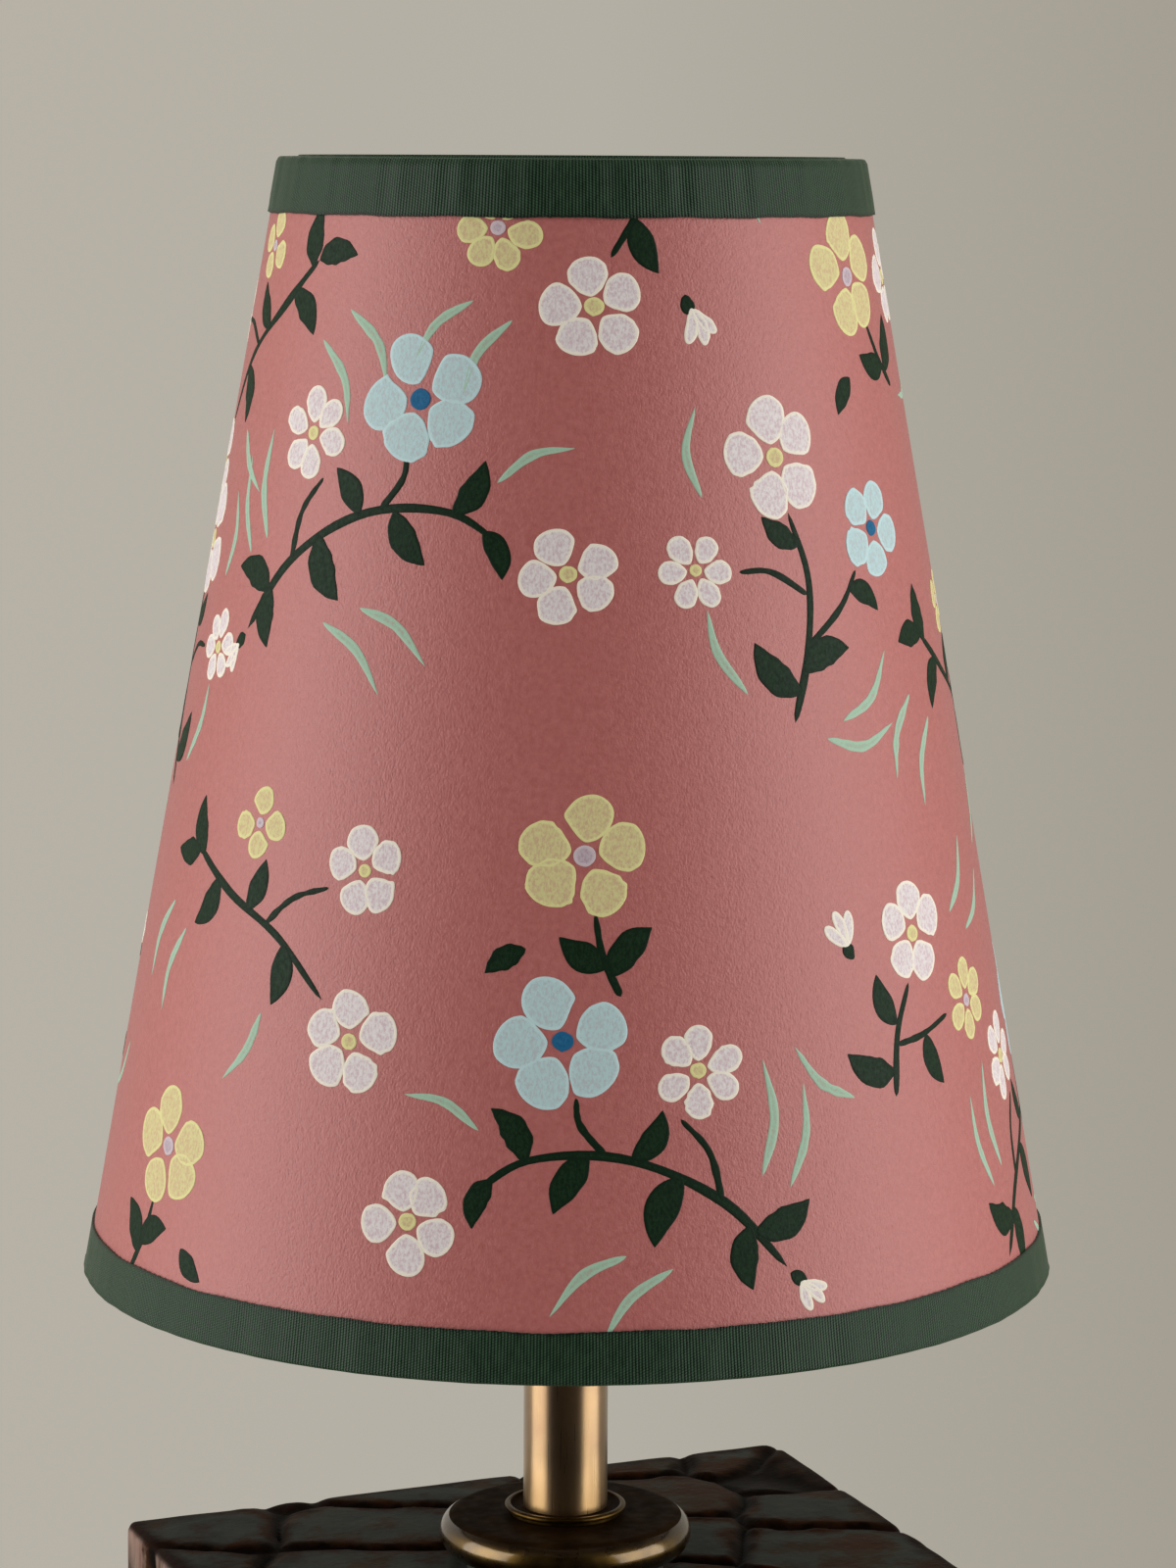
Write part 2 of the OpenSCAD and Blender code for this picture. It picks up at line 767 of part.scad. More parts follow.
// Ribbon folded over the top edge and round the top ring, slit where the arms pass
module top_trim() {
    low = shade_top - top_trim_h;
    under = shade_top - ribbon_t;
    round_z = shade_top - trim_round_r;
    fold_z = shade_top - top_fold_h;
    fold_r = top_ring_r - ring_wire_d / 2 - glue_gap;
    color([0.07, 0.15, 0.09])
        difference() {
            rotate_extrude($fn = 180)
                polygon(concat(
                    [[shade_r(low) - ribbon_t, low], [shade_r(low), low]],
                    arc([shade_r(shade_top) - trim_round_r, round_z], trim_round_r, 0, 90, 5),
                    arc([fold_r - ribbon_t + trim_round_r, round_z], trim_round_r, 90, 180, 5),
                    [[fold_r - ribbon_t, fold_z], [fold_r, fold_z]],
                    [[fold_r, under], [shade_r(under) - ribbon_t, under]]
                ));
            around(arm_count, arm_turn)
                translate([arm_corner_r, 0, arm_z])
                    rotate([0, 90 - arm_angle, 0])
                        cylinder(d = arm_d + 2 * slip_gap, h = arm_reach);
        }
}

// Ribbon folded under the bottom edge and round the bottom ring
module bottom_trim() {
    high = shade_z + bottom_trim_h;
    over = shade_z + ribbon_t;
    round_z = shade_z + trim_round_r;
    fold_z = shade_z + bottom_fold_h;
    fold_r = bottom_ring_r - ring_wire_d / 2 - glue_gap;
    color([0.07, 0.15, 0.09])
        rotate_extrude($fn = 180)
            polygon(concat(
                [[shade_r(high), high], [shade_r(high) - ribbon_t, high]],
                [[shade_r(over) - ribbon_t, over], [fold_r, over]],
                [[fold_r, fold_z], [fold_r - ribbon_t, fold_z]],
                arc([fold_r - ribbon_t + trim_round_r, round_z], trim_round_r, 180, 270, 5),
                arc([shade_r(shade_z) - trim_round_r, round_z], trim_round_r, -90, 0, 5)
            ));
}

// Wire ring inside the top edge
module top_ring() {
    color([0.85, 0.84, 0.80])
        wire_ring(top_ring_r, ring_wire_d, top_ring_z);
}

// Wire ring inside the bottom edge
module bottom_ring() {
    color([0.85, 0.84, 0.80])
        wire_ring(bottom_ring_r, ring_wire_d, bottom_ring_z);
}

// Pressed ring of the shade, with a lip that keeps it centred on the carrier
module fitter_ring() {
    outer_r = fitter_lip_r + fitter_t;
    lip_z = fitter_z - fitter_lip_h;
    color([0.82, 0.80, 0.75])
        rotate_extrude()
            polygon([
                [fitter_hole_r, fitter_z], [fitter_lip_r, fitter_z], [fitter_lip_r, lip_z],
                [outer_r, lip_z], [outer_r, fitter_z + fitter_t],
                [fitter_hole_r, fitter_z + fitter_t]
            ]);
}

// Arms from the fitter ring up to the top ring
module fitter_arms() {
    color([0.82, 0.80, 0.75])
        around(arm_count, arm_turn)
            translate([arm_corner_r, 0, arm_z]) {
                rotate([0, -90, 0])
                    cylinder(d = arm_d, h = arm_corner_r - arm_start_r);
                sphere(d = arm_d + 2 * arm_knuckle);
                rotate([0, 90 - arm_angle, 0])
                    cylinder(d = arm_d, h = arm_reach - ring_wire_d / 2 - 2 * glue_gap);
            }
}

felt_pads();
stoneware_body();
cable_grommet();
cork_washer();
brass_flange();
stem_collar();
stem_tube();
threaded_rod();
inner_washer();
inner_nut();
holder_cap();
holder_core();
holder_skirt();
screw_liner();
centre_contact();
side_contact();
terminal_screws();
lower_shade_ring();
upper_shade_ring();
switch_bar();
switch_knobs();
carrier_seat();
carrier_wires();
carrier_ring();
bulb_glass();
bulb_cap();
bulb_insulator();
bulb_contact();
bulb_mount();
bulb_filaments();
shade_card();
top_trim();
bottom_trim();
top_ring();
bottom_ring();
fitter_ring();
fitter_arms();
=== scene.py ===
import math

import bmesh
import bpy
import numpy as np
from mathutils import Matrix, Vector


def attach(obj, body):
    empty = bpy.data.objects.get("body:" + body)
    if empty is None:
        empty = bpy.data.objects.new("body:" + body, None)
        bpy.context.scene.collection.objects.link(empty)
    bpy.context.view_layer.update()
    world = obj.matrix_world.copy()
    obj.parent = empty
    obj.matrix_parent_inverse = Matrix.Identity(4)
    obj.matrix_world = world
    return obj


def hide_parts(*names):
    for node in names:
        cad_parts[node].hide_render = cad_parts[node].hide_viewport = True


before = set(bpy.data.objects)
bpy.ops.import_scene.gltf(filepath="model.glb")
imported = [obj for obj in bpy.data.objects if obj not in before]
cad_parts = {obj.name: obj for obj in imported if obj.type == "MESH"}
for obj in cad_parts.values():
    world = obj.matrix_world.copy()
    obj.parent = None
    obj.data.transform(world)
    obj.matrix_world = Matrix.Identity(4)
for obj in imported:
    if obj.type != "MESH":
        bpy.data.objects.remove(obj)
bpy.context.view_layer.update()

# Felt pads
# Four discs of black wool felt, glued under the corners of the body's foot. They are punched
# from a sheet, so the CAD discs keep their shape and get only a speckled, fibrous nap.
MM = 0.001


def shown(red, green, blue):
    """Linear colour of a display colour given in 0 to 255."""
    c = np.array([red, green, blue]) / 255
    return tuple(np.where(c <= 0.04045, c / 12.92, ((c + 0.055) / 1.055) ** 2.4))


def finish(name, colour, roughness, metallic=0.0, sockets=()):
    """A material with one Principled shader, its constants set on the shader's own sockets."""
    made = bpy.data.materials.new(name)
    made.use_nodes = True
    values = {"Base Color": (*shown(*colour), 1), "Roughness": roughness, "Metallic": metallic}
    values.update(sockets)
    for socket, value in values.items():
        made.node_tree.nodes["Principled BSDF"].inputs[socket].default_value = value
    return made


def add(made, kind, inputs, **settings):
    """Adds a shader node and gives its outputs; an input is a constant or another output."""
    new = made.node_tree.nodes.new("ShaderNode" + kind)
    for setting, value in settings.items():
        setattr(new, setting, value)
    for socket, value in inputs.items():
        if isinstance(value, bpy.types.NodeSocket):
            made.node_tree.links.new(value, new.inputs[socket])
        else:
            new.inputs[socket].default_value = value
    return new.outputs


def feed(made, output, socket):
    """Links an output to the material's Principled shader."""
    made.node_tree.links.new(output, made.node_tree.nodes["Principled BSDF"].inputs[socket])


def spots(made, size, detail=3.0, stretch=(1, 1, 1), harsh=0.5):
    """Noise from 0 to 1 on Object coordinates, its features size millimetres wide."""
    place = add(made, "Mapping", {
        "Vector": add(made, "TexCoord", {})["Object"],
        "Scale": tuple(1 / (size * MM * s) for s in stretch)})
    return add(made, "TexNoise", {
        "Vector": place[0], "Scale": 1.0, "Detail": detail, "Roughness": harsh})["Fac"]


def ramp(made, value, stops):
    """Colours that follow a value: stops are (value, display colour)."""
    bands = add(made, "ValToRGB", {"Fac": value})["Color"]
    elements = bands.node.color_ramp.elements
    while len(elements) < len(stops):
        elements.new(1.0)
    for element, (place, colour) in zip(elements, stops):
        element.position = place
        element.color = (*shown(*colour), 1)
    return bands


def spread(made, value, low, high, from_low=0.3, from_high=0.7):
    """Maps the usual reach of a noise to a range of numbers."""
    return add(made, "MapRange", {
        "Value": value, "From Min": from_low, "From Max": from_high,
        "To Min": low, "To Max": high})[0]


def relief(made, height, depth, under=None):
    """Bump from a height of 0 to 1 that stands for depth millimetres, over another bump."""
    inputs = {"Height": height, "Distance": depth * MM}
    if under is not None:
        inputs["Normal"] = under
    return add(made, "Bump", inputs)["Normal"]


def mottle(made, tones, matt=None, bumps=None):
    """Gives a material its uneven colour, roughness and relief, each from a noise of its own.

    Each is the settings of its spots, then what they make: the ramp's stops, the two
    roughnesses, or the depth in millimetres.
    """
    feed(made, ramp(made, spots(made, *tones[:-1]), tones[-1]), "Base Color")
    if matt:
        feed(made, spread(made, spots(made, *matt[:-2]), *matt[-2:]), "Roughness")
    if bumps:
        feed(made, relief(made, spots(made, *bumps[:-1]), bumps[-1]), "Normal")


def dress(made, *names):
    """Gives CAD nodes a material in place of their own."""
    for name in names:
        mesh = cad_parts[name].data
        mesh.materials.clear()
        mesh.materials.append(made)


felt = finish("black wool felt", (26, 26, 25), 0.95, sockets={"Sheen Weight": 0.4})
mottle(felt, (0.5, 5, [(0.35, (16, 16, 15)), (0.7, (48, 47, 44))]), bumps=(0.3, 6, 0.25))
dress(felt, "felt_pads")

# Stoneware body
# A slab-built box of dark stoneware, open underneath, whose face is pressed into a network of
# pillowed cells. A blue-grey glaze lies in the cells and breaks to red-brown in the grooves and
# along the edges, where it is thin.
BODY_W, BODY_D, BODY_FOOT, BODY_TOP = 154.0, 126.0, 3.0, 231.5
BODY_WALL, BODY_TOP_T, BODY_ROUND = 9.0, 11.0, 1.7
BODY_CEILING = BODY_TOP - BODY_TOP_T
SEAT_R, SEAT_TOP, ROD_HOLE_R = 20.0, BODY_TOP + 2.5, 6.5
INLET_Z, INLET_R = 27.0, 5.25
CELL_W, CELL_H, CELL_TURN = 50.0, 30.0, math.radians(-22)
GROOVE_W, GROOVE_DEEP, PILLOW, SLUMP = 2.5, 0.9, 0.6, 1.6
CELL_START, SIDE_SHIFT, SCATTER_W, SCATTER_H, WARP, WARP_SIZE = 13.0, 11.0, 2.5, 2.0, 1.5, 26.0
WELT_H, WELT_AT, WELT_W, WELT_SIZE = 0.5, 4.5, 2.2, 9.0
BODY_AROUND, WALL_RINGS, TOP_RINGS = 480, 108, 64
FOOT_CHAMFER, CAVITY_CORNER = 0.8, 5.0
WELD = 1e-7


def quads(rows, cols, close_rows=False, close_cols=False):
    """Faces of a grid of points numbered row by row, joined end to end where it is closed."""
    r, c = np.meshgrid(np.arange(rows - (not close_rows)), np.arange(cols - (not close_cols)),
                       indexing="ij")
    r1, c1 = (r + 1) % rows, (c + 1) % cols
    return np.stack([r * cols + c, r * cols + c1, r1 * cols + c1, r1 * cols + c], -1).reshape(-1, 4)


def circle(count):
    """Turns in radians of points evenly round a circle."""
    return np.arange(count) * 2 * math.pi / count


def surface(name, points, faces, made, body, stands_for=(), slot=None, layers=None, uv=None,
            crease=38):
    """A piece from points in millimetres and four-sided faces, a closed skin.

    The faces are turned outwards by the sign of the volume that they enclose, points that
    coincide are welded, and edges sharper than the crease stay sharp. Layers are values per
    point; uv is a place per point, kept per corner so that a wrapped pattern has no seam.
    """
    points = np.asarray(points, float).reshape(-1, 3) * MM
    faces = np.asarray(faces)
    a, b, c, d = (points[faces[:, i]] for i in range(4))
    if (np.cross(b, c) * a).sum() + (np.cross(c, d) * a).sum() < 0:
        faces = faces[:, ::-1]
    mesh = bpy.data.meshes.new(name)
    mesh.from_pydata(points.tolist(), [], faces.tolist())
    for layer, values in (layers or {}).items():
        mesh.attributes.new(layer, "FLOAT", "POINT").data.foreach_set(
            "value", np.asarray(values, np.float32).ravel())
    if uv is not None:
        corners = np.asarray(uv, np.float32).reshape(-1, 2)[faces.ravel()]
        mesh.uv_layers.new(name="UVMap").data.foreach_set("uv", corners.ravel())
    return placed(mesh, made, body, stands_for, crease)


def in_scene(name, data):
    """A new object of this data at the origin, linked to the scene."""
    new = bpy.data.objects.new(name, data)
    bpy.context.scene.collection.objects.link(new)
    return new


def placed(mesh, made, body, stands_for, crease):
    """Welds a mesh, shades it smoothly between its creases and makes it a piece on a body."""
    work = bmesh.new()
    work.from_mesh(mesh)
    bmesh.ops.remove_doubles(work, verts=work.verts, dist=WELD)
    bare = [edge for edge in work.edges if not edge.link_faces]
    bmesh.ops.delete(work, geom=bare, context="EDGES")
    work.to_mesh(mesh)
    work.free()
    mesh.polygons.foreach_set("use_smooth", [True] * len(mesh.polygons))
    mesh.set_sharp_from_angle(angle=math.radians(crease))
    mesh.materials.clear()
    mesh.materials.append(made)
    piece = in_scene(mesh.name, mesh)
    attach(piece, body)
    if stands_for:
        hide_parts(*stands_for)
    return piece


def box_outline(half_w, half_d, corner, share):
    """Point at a share of the way round a rectangle with round corners, from its -Y side's middle.

    The outline is walked as straight, quarter circle, straight and so on, by length.
    """
    sides = np.array([half_w - corner, half_d - corner] * 2)
    lengths = np.empty(9)
    lengths[0::2] = [sides[0], 2 * sides[1], 2 * sides[0], 2 * sides[1], sides[0]]
    lengths[1::2] = math.pi / 2 * corner
    ends = np.concatenate([[0], np.cumsum(lengths)])
    at = share * ends[-1]
    stretch = np.clip(np.searchsorted(ends, at, side="right") - 1, 0, 8)
    along = at - ends[stretch]
    cx, cy = half_w - corner, half_d - corner
    corners = np.array([[cx, -cy], [cx, cy], [-cx, cy], [-cx, -cy]])
    starts = np.array([[0, -half_d], [half_w, -cy], [cx, half_d], [-half_w, cy], [-cx, -half_d]])
    ways = np.array([[1, 0], [0, 1], [-1, 0], [0, -1], [1, 0]])
    k = stretch // 2
    straight = starts[k] + ways[k] * along[:, None]
    kc = np.minimum(k, 3)
    turn = -math.pi / 2 + kc * math.pi / 2 + along / max(corner, 1e-6)
    bent = corners[kc] + corner * np.stack([np.cos(turn), np.sin(turn)], -1)
    return np.where((stretch % 2 == 0)[:, None], straight, bent)


def cell_gap(points, seeds):
    """How much further the second nearest seed is than the nearest: 0 between two cells."""
    near = np.full(len(points), 1e9)
    second = near.copy()
    for seed in seeds:
        far = np.linalg.norm(points - seed, axis=1)
        second = np.minimum(second, np.maximum(near, far))
        near = np.minimum(near, far)
    return second - near


def ripple(points, size, seed, waves=14):
    """A smooth random height from -1 to 1: the mean of sine waves in random directions."""
    rng = np.random.default_rng(seed)
    ways = rng.normal(size=(waves, 3))
    ways *= (2 * math.pi / size) * rng.uniform(0.6, 1.5, (waves, 1)) / np.linalg.norm(
        ways, axis=1, keepdims=True)
    total = np.zeros(len(points))
    for way, phase in zip(ways, rng.uniform(0, 2 * math.pi, waves)):
        total += np.sin(points @ way + phase)
    return total / math.sqrt(waves) / 1.6


def body_grid():
    """The body as one closed grid: the outline carried up the outside, in over the top, down the
    rod's hole and back down inside the cavity to the foot."""
    share = np.arange(BODY_AROUND) / BODY_AROUND
    half_w, half_d, r = BODY_W / 2, BODY_D / 2, BODY_ROUND
    inner_w, inner_d = half_w - BODY_WALL, half_d - BODY_WALL
    foot_edge = BODY_FOOT + FOOT_CHAMFER
    rings = [(box_outline(half_w, half_d, r, share), z)
             for z in np.linspace(foot_edge, BODY_TOP - r - 1.5, WALL_RINGS)]
    for t in np.linspace(0, math.pi / 2, 7):
        inset = r - r * math.cos(t)
        rings.append((box_outline(half_w - inset, half_d - inset, max(r * math.cos(t), 0.6), share),
                      BODY_TOP - r + r * math.sin(t)))
    edge = box_outline(half_w - r - 0.8, half_d - r - 0.8, 0.6, share)
    angle = np.arctan2(edge[:, 1], edge[:, 0])
    seat = SEAT_R * np.stack([np.cos(angle), np.sin(angle)], -1)
    for t in np.linspace(0, 1, TOP_RINGS) ** 0.9:
        rings.append((edge * (1 - t) + seat * 1.03 * t, BODY_TOP))
    for grow, z in ((1.0, BODY_TOP + 0.5), (0.985, SEAT_TOP - 0.5), (0.96, SEAT_TOP)):
        rings.append((seat * grow, z))
    for grow, z in ((1.06, SEAT_TOP), (1.0, SEAT_TOP - 0.4), (1.0, BODY_CEILING + 0.4),
                    (1.06, BODY_CEILING)):
        rings.append((seat * ROD_HOLE_R / SEAT_R * grow, z))
    for inset, z in ((1.0, BODY_CEILING), (0.3, BODY_CEILING - 0.3), (0, BODY_CEILING - 1.0),
                     (0, 150), (0, 80), (0, foot_edge)):
        rings.append((box_outline(inner_w - inset, inner_d - inset, CAVITY_CORNER - inset, share), z))
    rings.append((box_outline(inner_w + FOOT_CHAMFER, inner_d + FOOT_CHAMFER, CAVITY_CORNER, share),
                  BODY_FOOT))
    rings.append((box_outline(half_w - FOOT_CHAMFER, half_d - FOOT_CHAMFER, r, share), BODY_FOOT))
    flat = np.array([outline for outline, _ in rings])
    z = np.broadcast_to(np.array([z for _, z in rings])[:, None, None], flat.shape[:2] + (1,))
    return np.concatenate([flat, z], -1)


def outside_share(points, hole_r):
    """1 on the outside, fading to 0 at the foot, towards the hole and inside the cavity."""
    x, y, z = points.T
    side = (np.abs(x) > BODY_W / 2 - 5) | (np.abs(y) > BODY_D / 2 - 5)
    share = np.where(side, np.clip((z - BODY_FOOT - 1) / 5, 0, 1), 0.0)
    return np.where(z > BODY_TOP - 2, np.clip((np.hypot(x, y) - hole_r) / 3, 0, 1), share)


def cell_seeds(rng):
    """Middles of the cells: staggered columns on the top, turned a little, and on the sides."""
    stagger = CELL_H * np.array([0.3, 0.87, 0.88, 0.57, 0.3, 0.75, 0.1])
    column, row = np.meshgrid(np.arange(-3, 4), np.arange(-5, 10))
    across = CELL_START + CELL_W * column + rng.uniform(-SCATTER_W, SCATTER_W, column.shape)
    along = CELL_H * row + stagger[column + 3] + rng.uniform(-SCATTER_H, SCATTER_H, column.shape)
    c, s = math.cos(CELL_TURN), math.sin(CELL_TURN)
    level = np.full(across.shape, BODY_TOP)
    groups = [np.stack([across * c - along * s, across * s + along * c, level], -1)]
    for way in (-1, 1):
        groups.append(np.stack([way * across, np.full(across.shape, way * BODY_D / 2), along], -1))
        groups.append(np.stack([np.full(across.shape, way * BODY_W / 2), across * -way,
                                along + SIDE_SHIFT], -1))
    seeds = np.concatenate([group.reshape(-1, 3) for group in groups])
    return seeds[(seeds[:, 2] < BODY_TOP - 8) | (seeds[:, 2] == BODY_TOP)]


grid = body_grid()
body_shape = grid.shape[:2]
flat_points = grid.reshape(-1, 3)
at_x, at_y, at_z = flat_points.T
warped = flat_points + WARP * np.stack([ripple(flat_points, WARP_SIZE, s) for s in (1, 2, 3)], -1)
gap = cell_gap(warped, cell_seeds(np.random.default_rng(11)))
normal = np.cross(np.roll(grid, -1, 1) - np.roll(grid, 1, 1),
                  np.roll(grid, -1, 0) - np.roll(grid, 1, 0)).reshape(-1, 3)
normal /= np.maximum(np.linalg.norm(normal, axis=1, keepdims=True), 1e-9)
rim = np.exp(-(np.maximum(BODY_TOP - at_z, 0)
               + np.minimum(BODY_W / 2 - np.abs(at_x), BODY_D / 2 - np.abs(at_y))) / 3.0)
welt = np.exp(-((gap - WELT_AT) / WELT_W) ** 2) * np.clip(ripple(flat_points, WELT_SIZE, 8), 0, 1)
swell = PILLOW * (1 - np.exp(-gap / 4)) - GROOVE_DEEP * np.exp(-(gap / GROOVE_W) ** 2)
swell += WELT_H * welt + 0.12 * ripple(flat_points, 14, 5) + 0.2 * ripple(flat_points, 50, 6)
outside = outside_share(flat_points, SEAT_R + 1)
swell = (swell - 0.1) * (1 - 0.6 * np.clip(rim, 0, 1)) * outside
relieved = flat_points + normal * swell[:, None]
# The top sags a little towards the front left, so the right back corner stands highest
relieved[:, 2] += SLUMP * outside * (np.clip((at_z - 180) / 50, 0, 1) ** 2
                                     * np.clip(at_x / BODY_W + 0.5, 0, 1)
                                     * np.clip(at_y / BODY_D + 0.5, 0, 1))
upright = np.clip((BODY_TOP - 0.5 - at_z) / 0.9, 0, 1)
fall = 0.12 + 0.88 * np.exp(-np.maximum(BODY_TOP - at_z - 8, 0) / 16)
glazed = outside_share(flat_points, SEAT_R - 6)

glaze = finish("broken blue-grey glaze", (40, 42, 42), 0.45, sockets={"Specular IOR Level": 0.02})


def attribute(made, layer):
    """A piece's own value at each point."""
    return add(made, "Attribute", {}, attribute_name=layer)["Fac"]


def reckon(made, operation, *values, **settings):
    """One step of arithmetic on values in a material."""
    return add(made, "Math", dict(enumerate(values)), operation=operation, **settings)[0]


def laid(made, factor, under, over):
    """One colour laid over another by a factor; each is an output or a display colour."""
    under, over = ((*shown(*c), 1) if isinstance(c, tuple) else c for c in (under, over))
    return add(made, "Mix", {"Factor": factor, "A": under, "B": over}, data_type="RGBA")[2]


cloud = spots(glaze, 20, 7, harsh=0.6)
pool = ramp(glaze, cloud, [(0.35, (56, 32, 16)), (0.43, (56, 45, 33)), (0.5, (63, 66, 61)),
                           (0.63, (58, 61, 58)), (0.71, (58, 38, 23))])
streaks = ramp(glaze, spots(glaze, 3, 6, (1, 1, 7), 0.6),
               [(0.3, (92, 64, 54)), (0.5, (140, 114, 102)), (0.72, (172, 146, 134))])
run = reckon(glaze, "ADD", attribute(glaze, "fall"),
             spread(glaze, spots(glaze, 9, 5, (1, 1, 3), 0.6), -0.6, 0.4), use_clamp=True)
run = reckon(glaze, "MULTIPLY", run, attribute(glaze, "side"))
hue = laid(glaze, run, pool, streaks)
# The raised welts are laid with a paler grey: a painted highlight along the ridges.
hue = laid(glaze, spread(glaze, attribute(glaze, "welt"), 0, 0.6, 0.35, 0.9), hue, (88, 85, 82))
ragged_gap = reckon(glaze, "ADD", attribute(glaze, "gap"),
                    spread(glaze, spots(glaze, 11, 6, harsh=0.6), -7, 6))
hue = laid(glaze, spread(glaze, ragged_gap, 1, 0, 3.5, 9.5), hue, (52, 28, 12))
ragged_line = reckon(glaze, "ADD", attribute(glaze, "gap"), spread(glaze, spots(glaze, 4, 4), -1.6, 1.6))
hue = laid(glaze, spread(glaze, ragged_line, 1, 0, 1.8, 6), hue, (12, 6, 3))
worn = reckon(glaze, "ADD", attribute(glaze, "rim"), spread(glaze, spots(glaze, 7, 5), -0.16, 0.16))
worn = reckon(glaze, "MULTIPLY", spread(glaze, worn, 0, 0.95, 0.18, 0.52),
              spread(glaze, attribute(glaze, "side"), 1, 0, 0, 1))
hue = laid(glaze, worn, hue, (30, 15, 9))
bare = ramp(glaze, spots(glaze, 2.5, 5), [(0.3, (120, 84, 62)), (0.7, (150, 112, 86))])
feed(glaze, laid(glaze, attribute(glaze, "glazed"), bare, hue), "Base Color")
feed(glaze, spread(glaze, cloud, 0.36, 0.55), "Roughness")
feed(glaze, relief(glaze, spots(glaze, 2.2, 5), 0.2, relief(glaze, spots(glaze, 0.7, 3), 0.04)),
     "Normal")
pot = surface("glazed_body", relieved, quads(*body_shape, True, True), glaze, "base",
              ["stoneware_body"], "stoneware",
              {"gap": gap, "rim": rim, "side": upright, "fall": fall, "welt": welt,
               "glazed": glazed})

# The cable hole is drilled through the back wall before the clay is fired
turn = circle(64)
bit_r, bit_y = (np.array([[0, -1], [INLET_R, -1], [INLET_R, 1], [0, 1]]) * [1, BODY_WALL]).T[..., None]
bit = np.stack(np.broadcast_arrays(bit_r * np.cos(turn), BODY_D / 2 - BODY_WALL / 2 + bit_y,
                                   INLET_Z - bit_r * np.sin(turn)), -1)
drill_mesh = bpy.data.meshes.new("drill")
drill_mesh.from_pydata((bit.reshape(-1, 3) * MM).tolist(), [], quads(4, 64, False, True).tolist())
work = bmesh.new()
work.from_mesh(drill_mesh)
bmesh.ops.remove_doubles(work, verts=work.verts, dist=WELD)
bmesh.ops.recalc_face_normals(work, faces=work.faces)
work.to_mesh(drill_mesh)
work.free()
drill = in_scene("drill", drill_mesh)
cut = pot.modifiers.new("drilled", "BOOLEAN")
cut.object, cut.operation, cut.solver = drill, "DIFFERENCE", "EXACT"
bpy.context.view_layer.update()
drilled = bpy.data.meshes.new_from_object(pot.evaluated_get(bpy.context.evaluated_depsgraph_get()))
pot.modifiers.clear()
pot.data = drilled
bpy.data.objects.remove(drill)

# Cable grommet and cork washer
# A moulded rubber grommet sits in the cable hole at the back, and a punched cork washer keeps
# the flange off the glaze. Both keep their CAD shape.
rubber = finish("black rubber", (22, 22, 23), 0.6)
mottle(rubber, (3, 4, [(0.3, (16, 16, 17)), (0.7, (31, 31, 32))]), bumps=(0.3, 3, 0.03))
dress(rubber, "cable_grommet")

cork = finish("pressed cork", (158, 116, 74), 0.9)
mottle(cork, (1.4, 6, (1, 1, 1), 0.7, [(0.3, (84, 54, 32)), (0.45, (150, 106, 66)),
                                       (0.7, (188, 146, 98))]), bumps=(0.8, 5, 0.2))
dress(cork, "cork_washer")

# Flange, collar and stem
# A turned flange with a full round rim, almost black on its flat top and darker up the rim towards
# it, a thin collar with a rolled lip, and a drawn tube in satin antique brass. The tube stands in the
# collar.
CORK_T, FLANGE_R, FLANGE_T, FLANGE_BORE_R = 1.5, 26.4, 8.0, 5.1
FLANGE_Z = SEAT_TOP + CORK_T
COLLAR_R, COLLAR_H, STEM_R, STEM_TOP, STEM_BORE_R = 12.7, 2.1, 8.8, 322.0, 7.6


def rounded(corners, steps=5):
    """Outline through corners (radius, height, fillet): each corner becomes a short curve that
    meets its two sides smoothly, with one more point on each side to keep the flats flat."""
    corners = np.asarray(corners, float)
    out = []
    for i, (r, z, fillet) in enumerate(corners):
        here = np.array([r, z])
        if fillet == 0:
            out.append(here)
            continue
        before, after = corners[i - 1, :2] - here, corners[(i + 1) % len(corners), :2] - here
        la, lb = np.linalg.norm(before), np.linalg.norm(after)
        pull = min(fillet, 0.45 * la, 0.45 * lb)
        a, b = here + before / la * pull, here + after / lb * pull
        t = np.linspace(0, 1, steps)[:, None]
        out.append(a + before / la * min(0.3 * pull, 0.04 * la))
        out.extend((1 - t) ** 2 * a + 2 * t * (1 - t) * here + t ** 2 * b)
        out.append(b + after / lb * min(0.3 * pull, 0.04 * lb))
    return np.array(out)


def round_axis(r, turn, z):
    """Points from their distance from the upright axis, their turn about it and their height."""
    return np.stack(np.broadcast_arrays(r * np.cos(turn), r * np.sin(turn), z), -1)


def turned(profile, around=160, centre=(0, 0)):
    """A closed profile (radius, height) carried round an upright axis, as on a lathe."""
    r, z = np.asarray(profile).T[..., None]
    return round_axis(r, circle(around), z) + [*centre, 0], quads(len(r), around, True, True)


def arc(r, z, radius, start, end, steps=12):
    """Points of a circle in the outline's plane, from one angle to another in degrees."""
    a = np.radians(np.linspace(start, end, steps))
    return np.stack([r + radius * np.cos(a), z + radius * np.sin(a)], -1)


def height_of(made):
    """A point's height above the table, in metres."""
    return add(made, "SeparateXYZ", {"Vector": add(made, "TexCoord", {})["Object"]})["Z"]


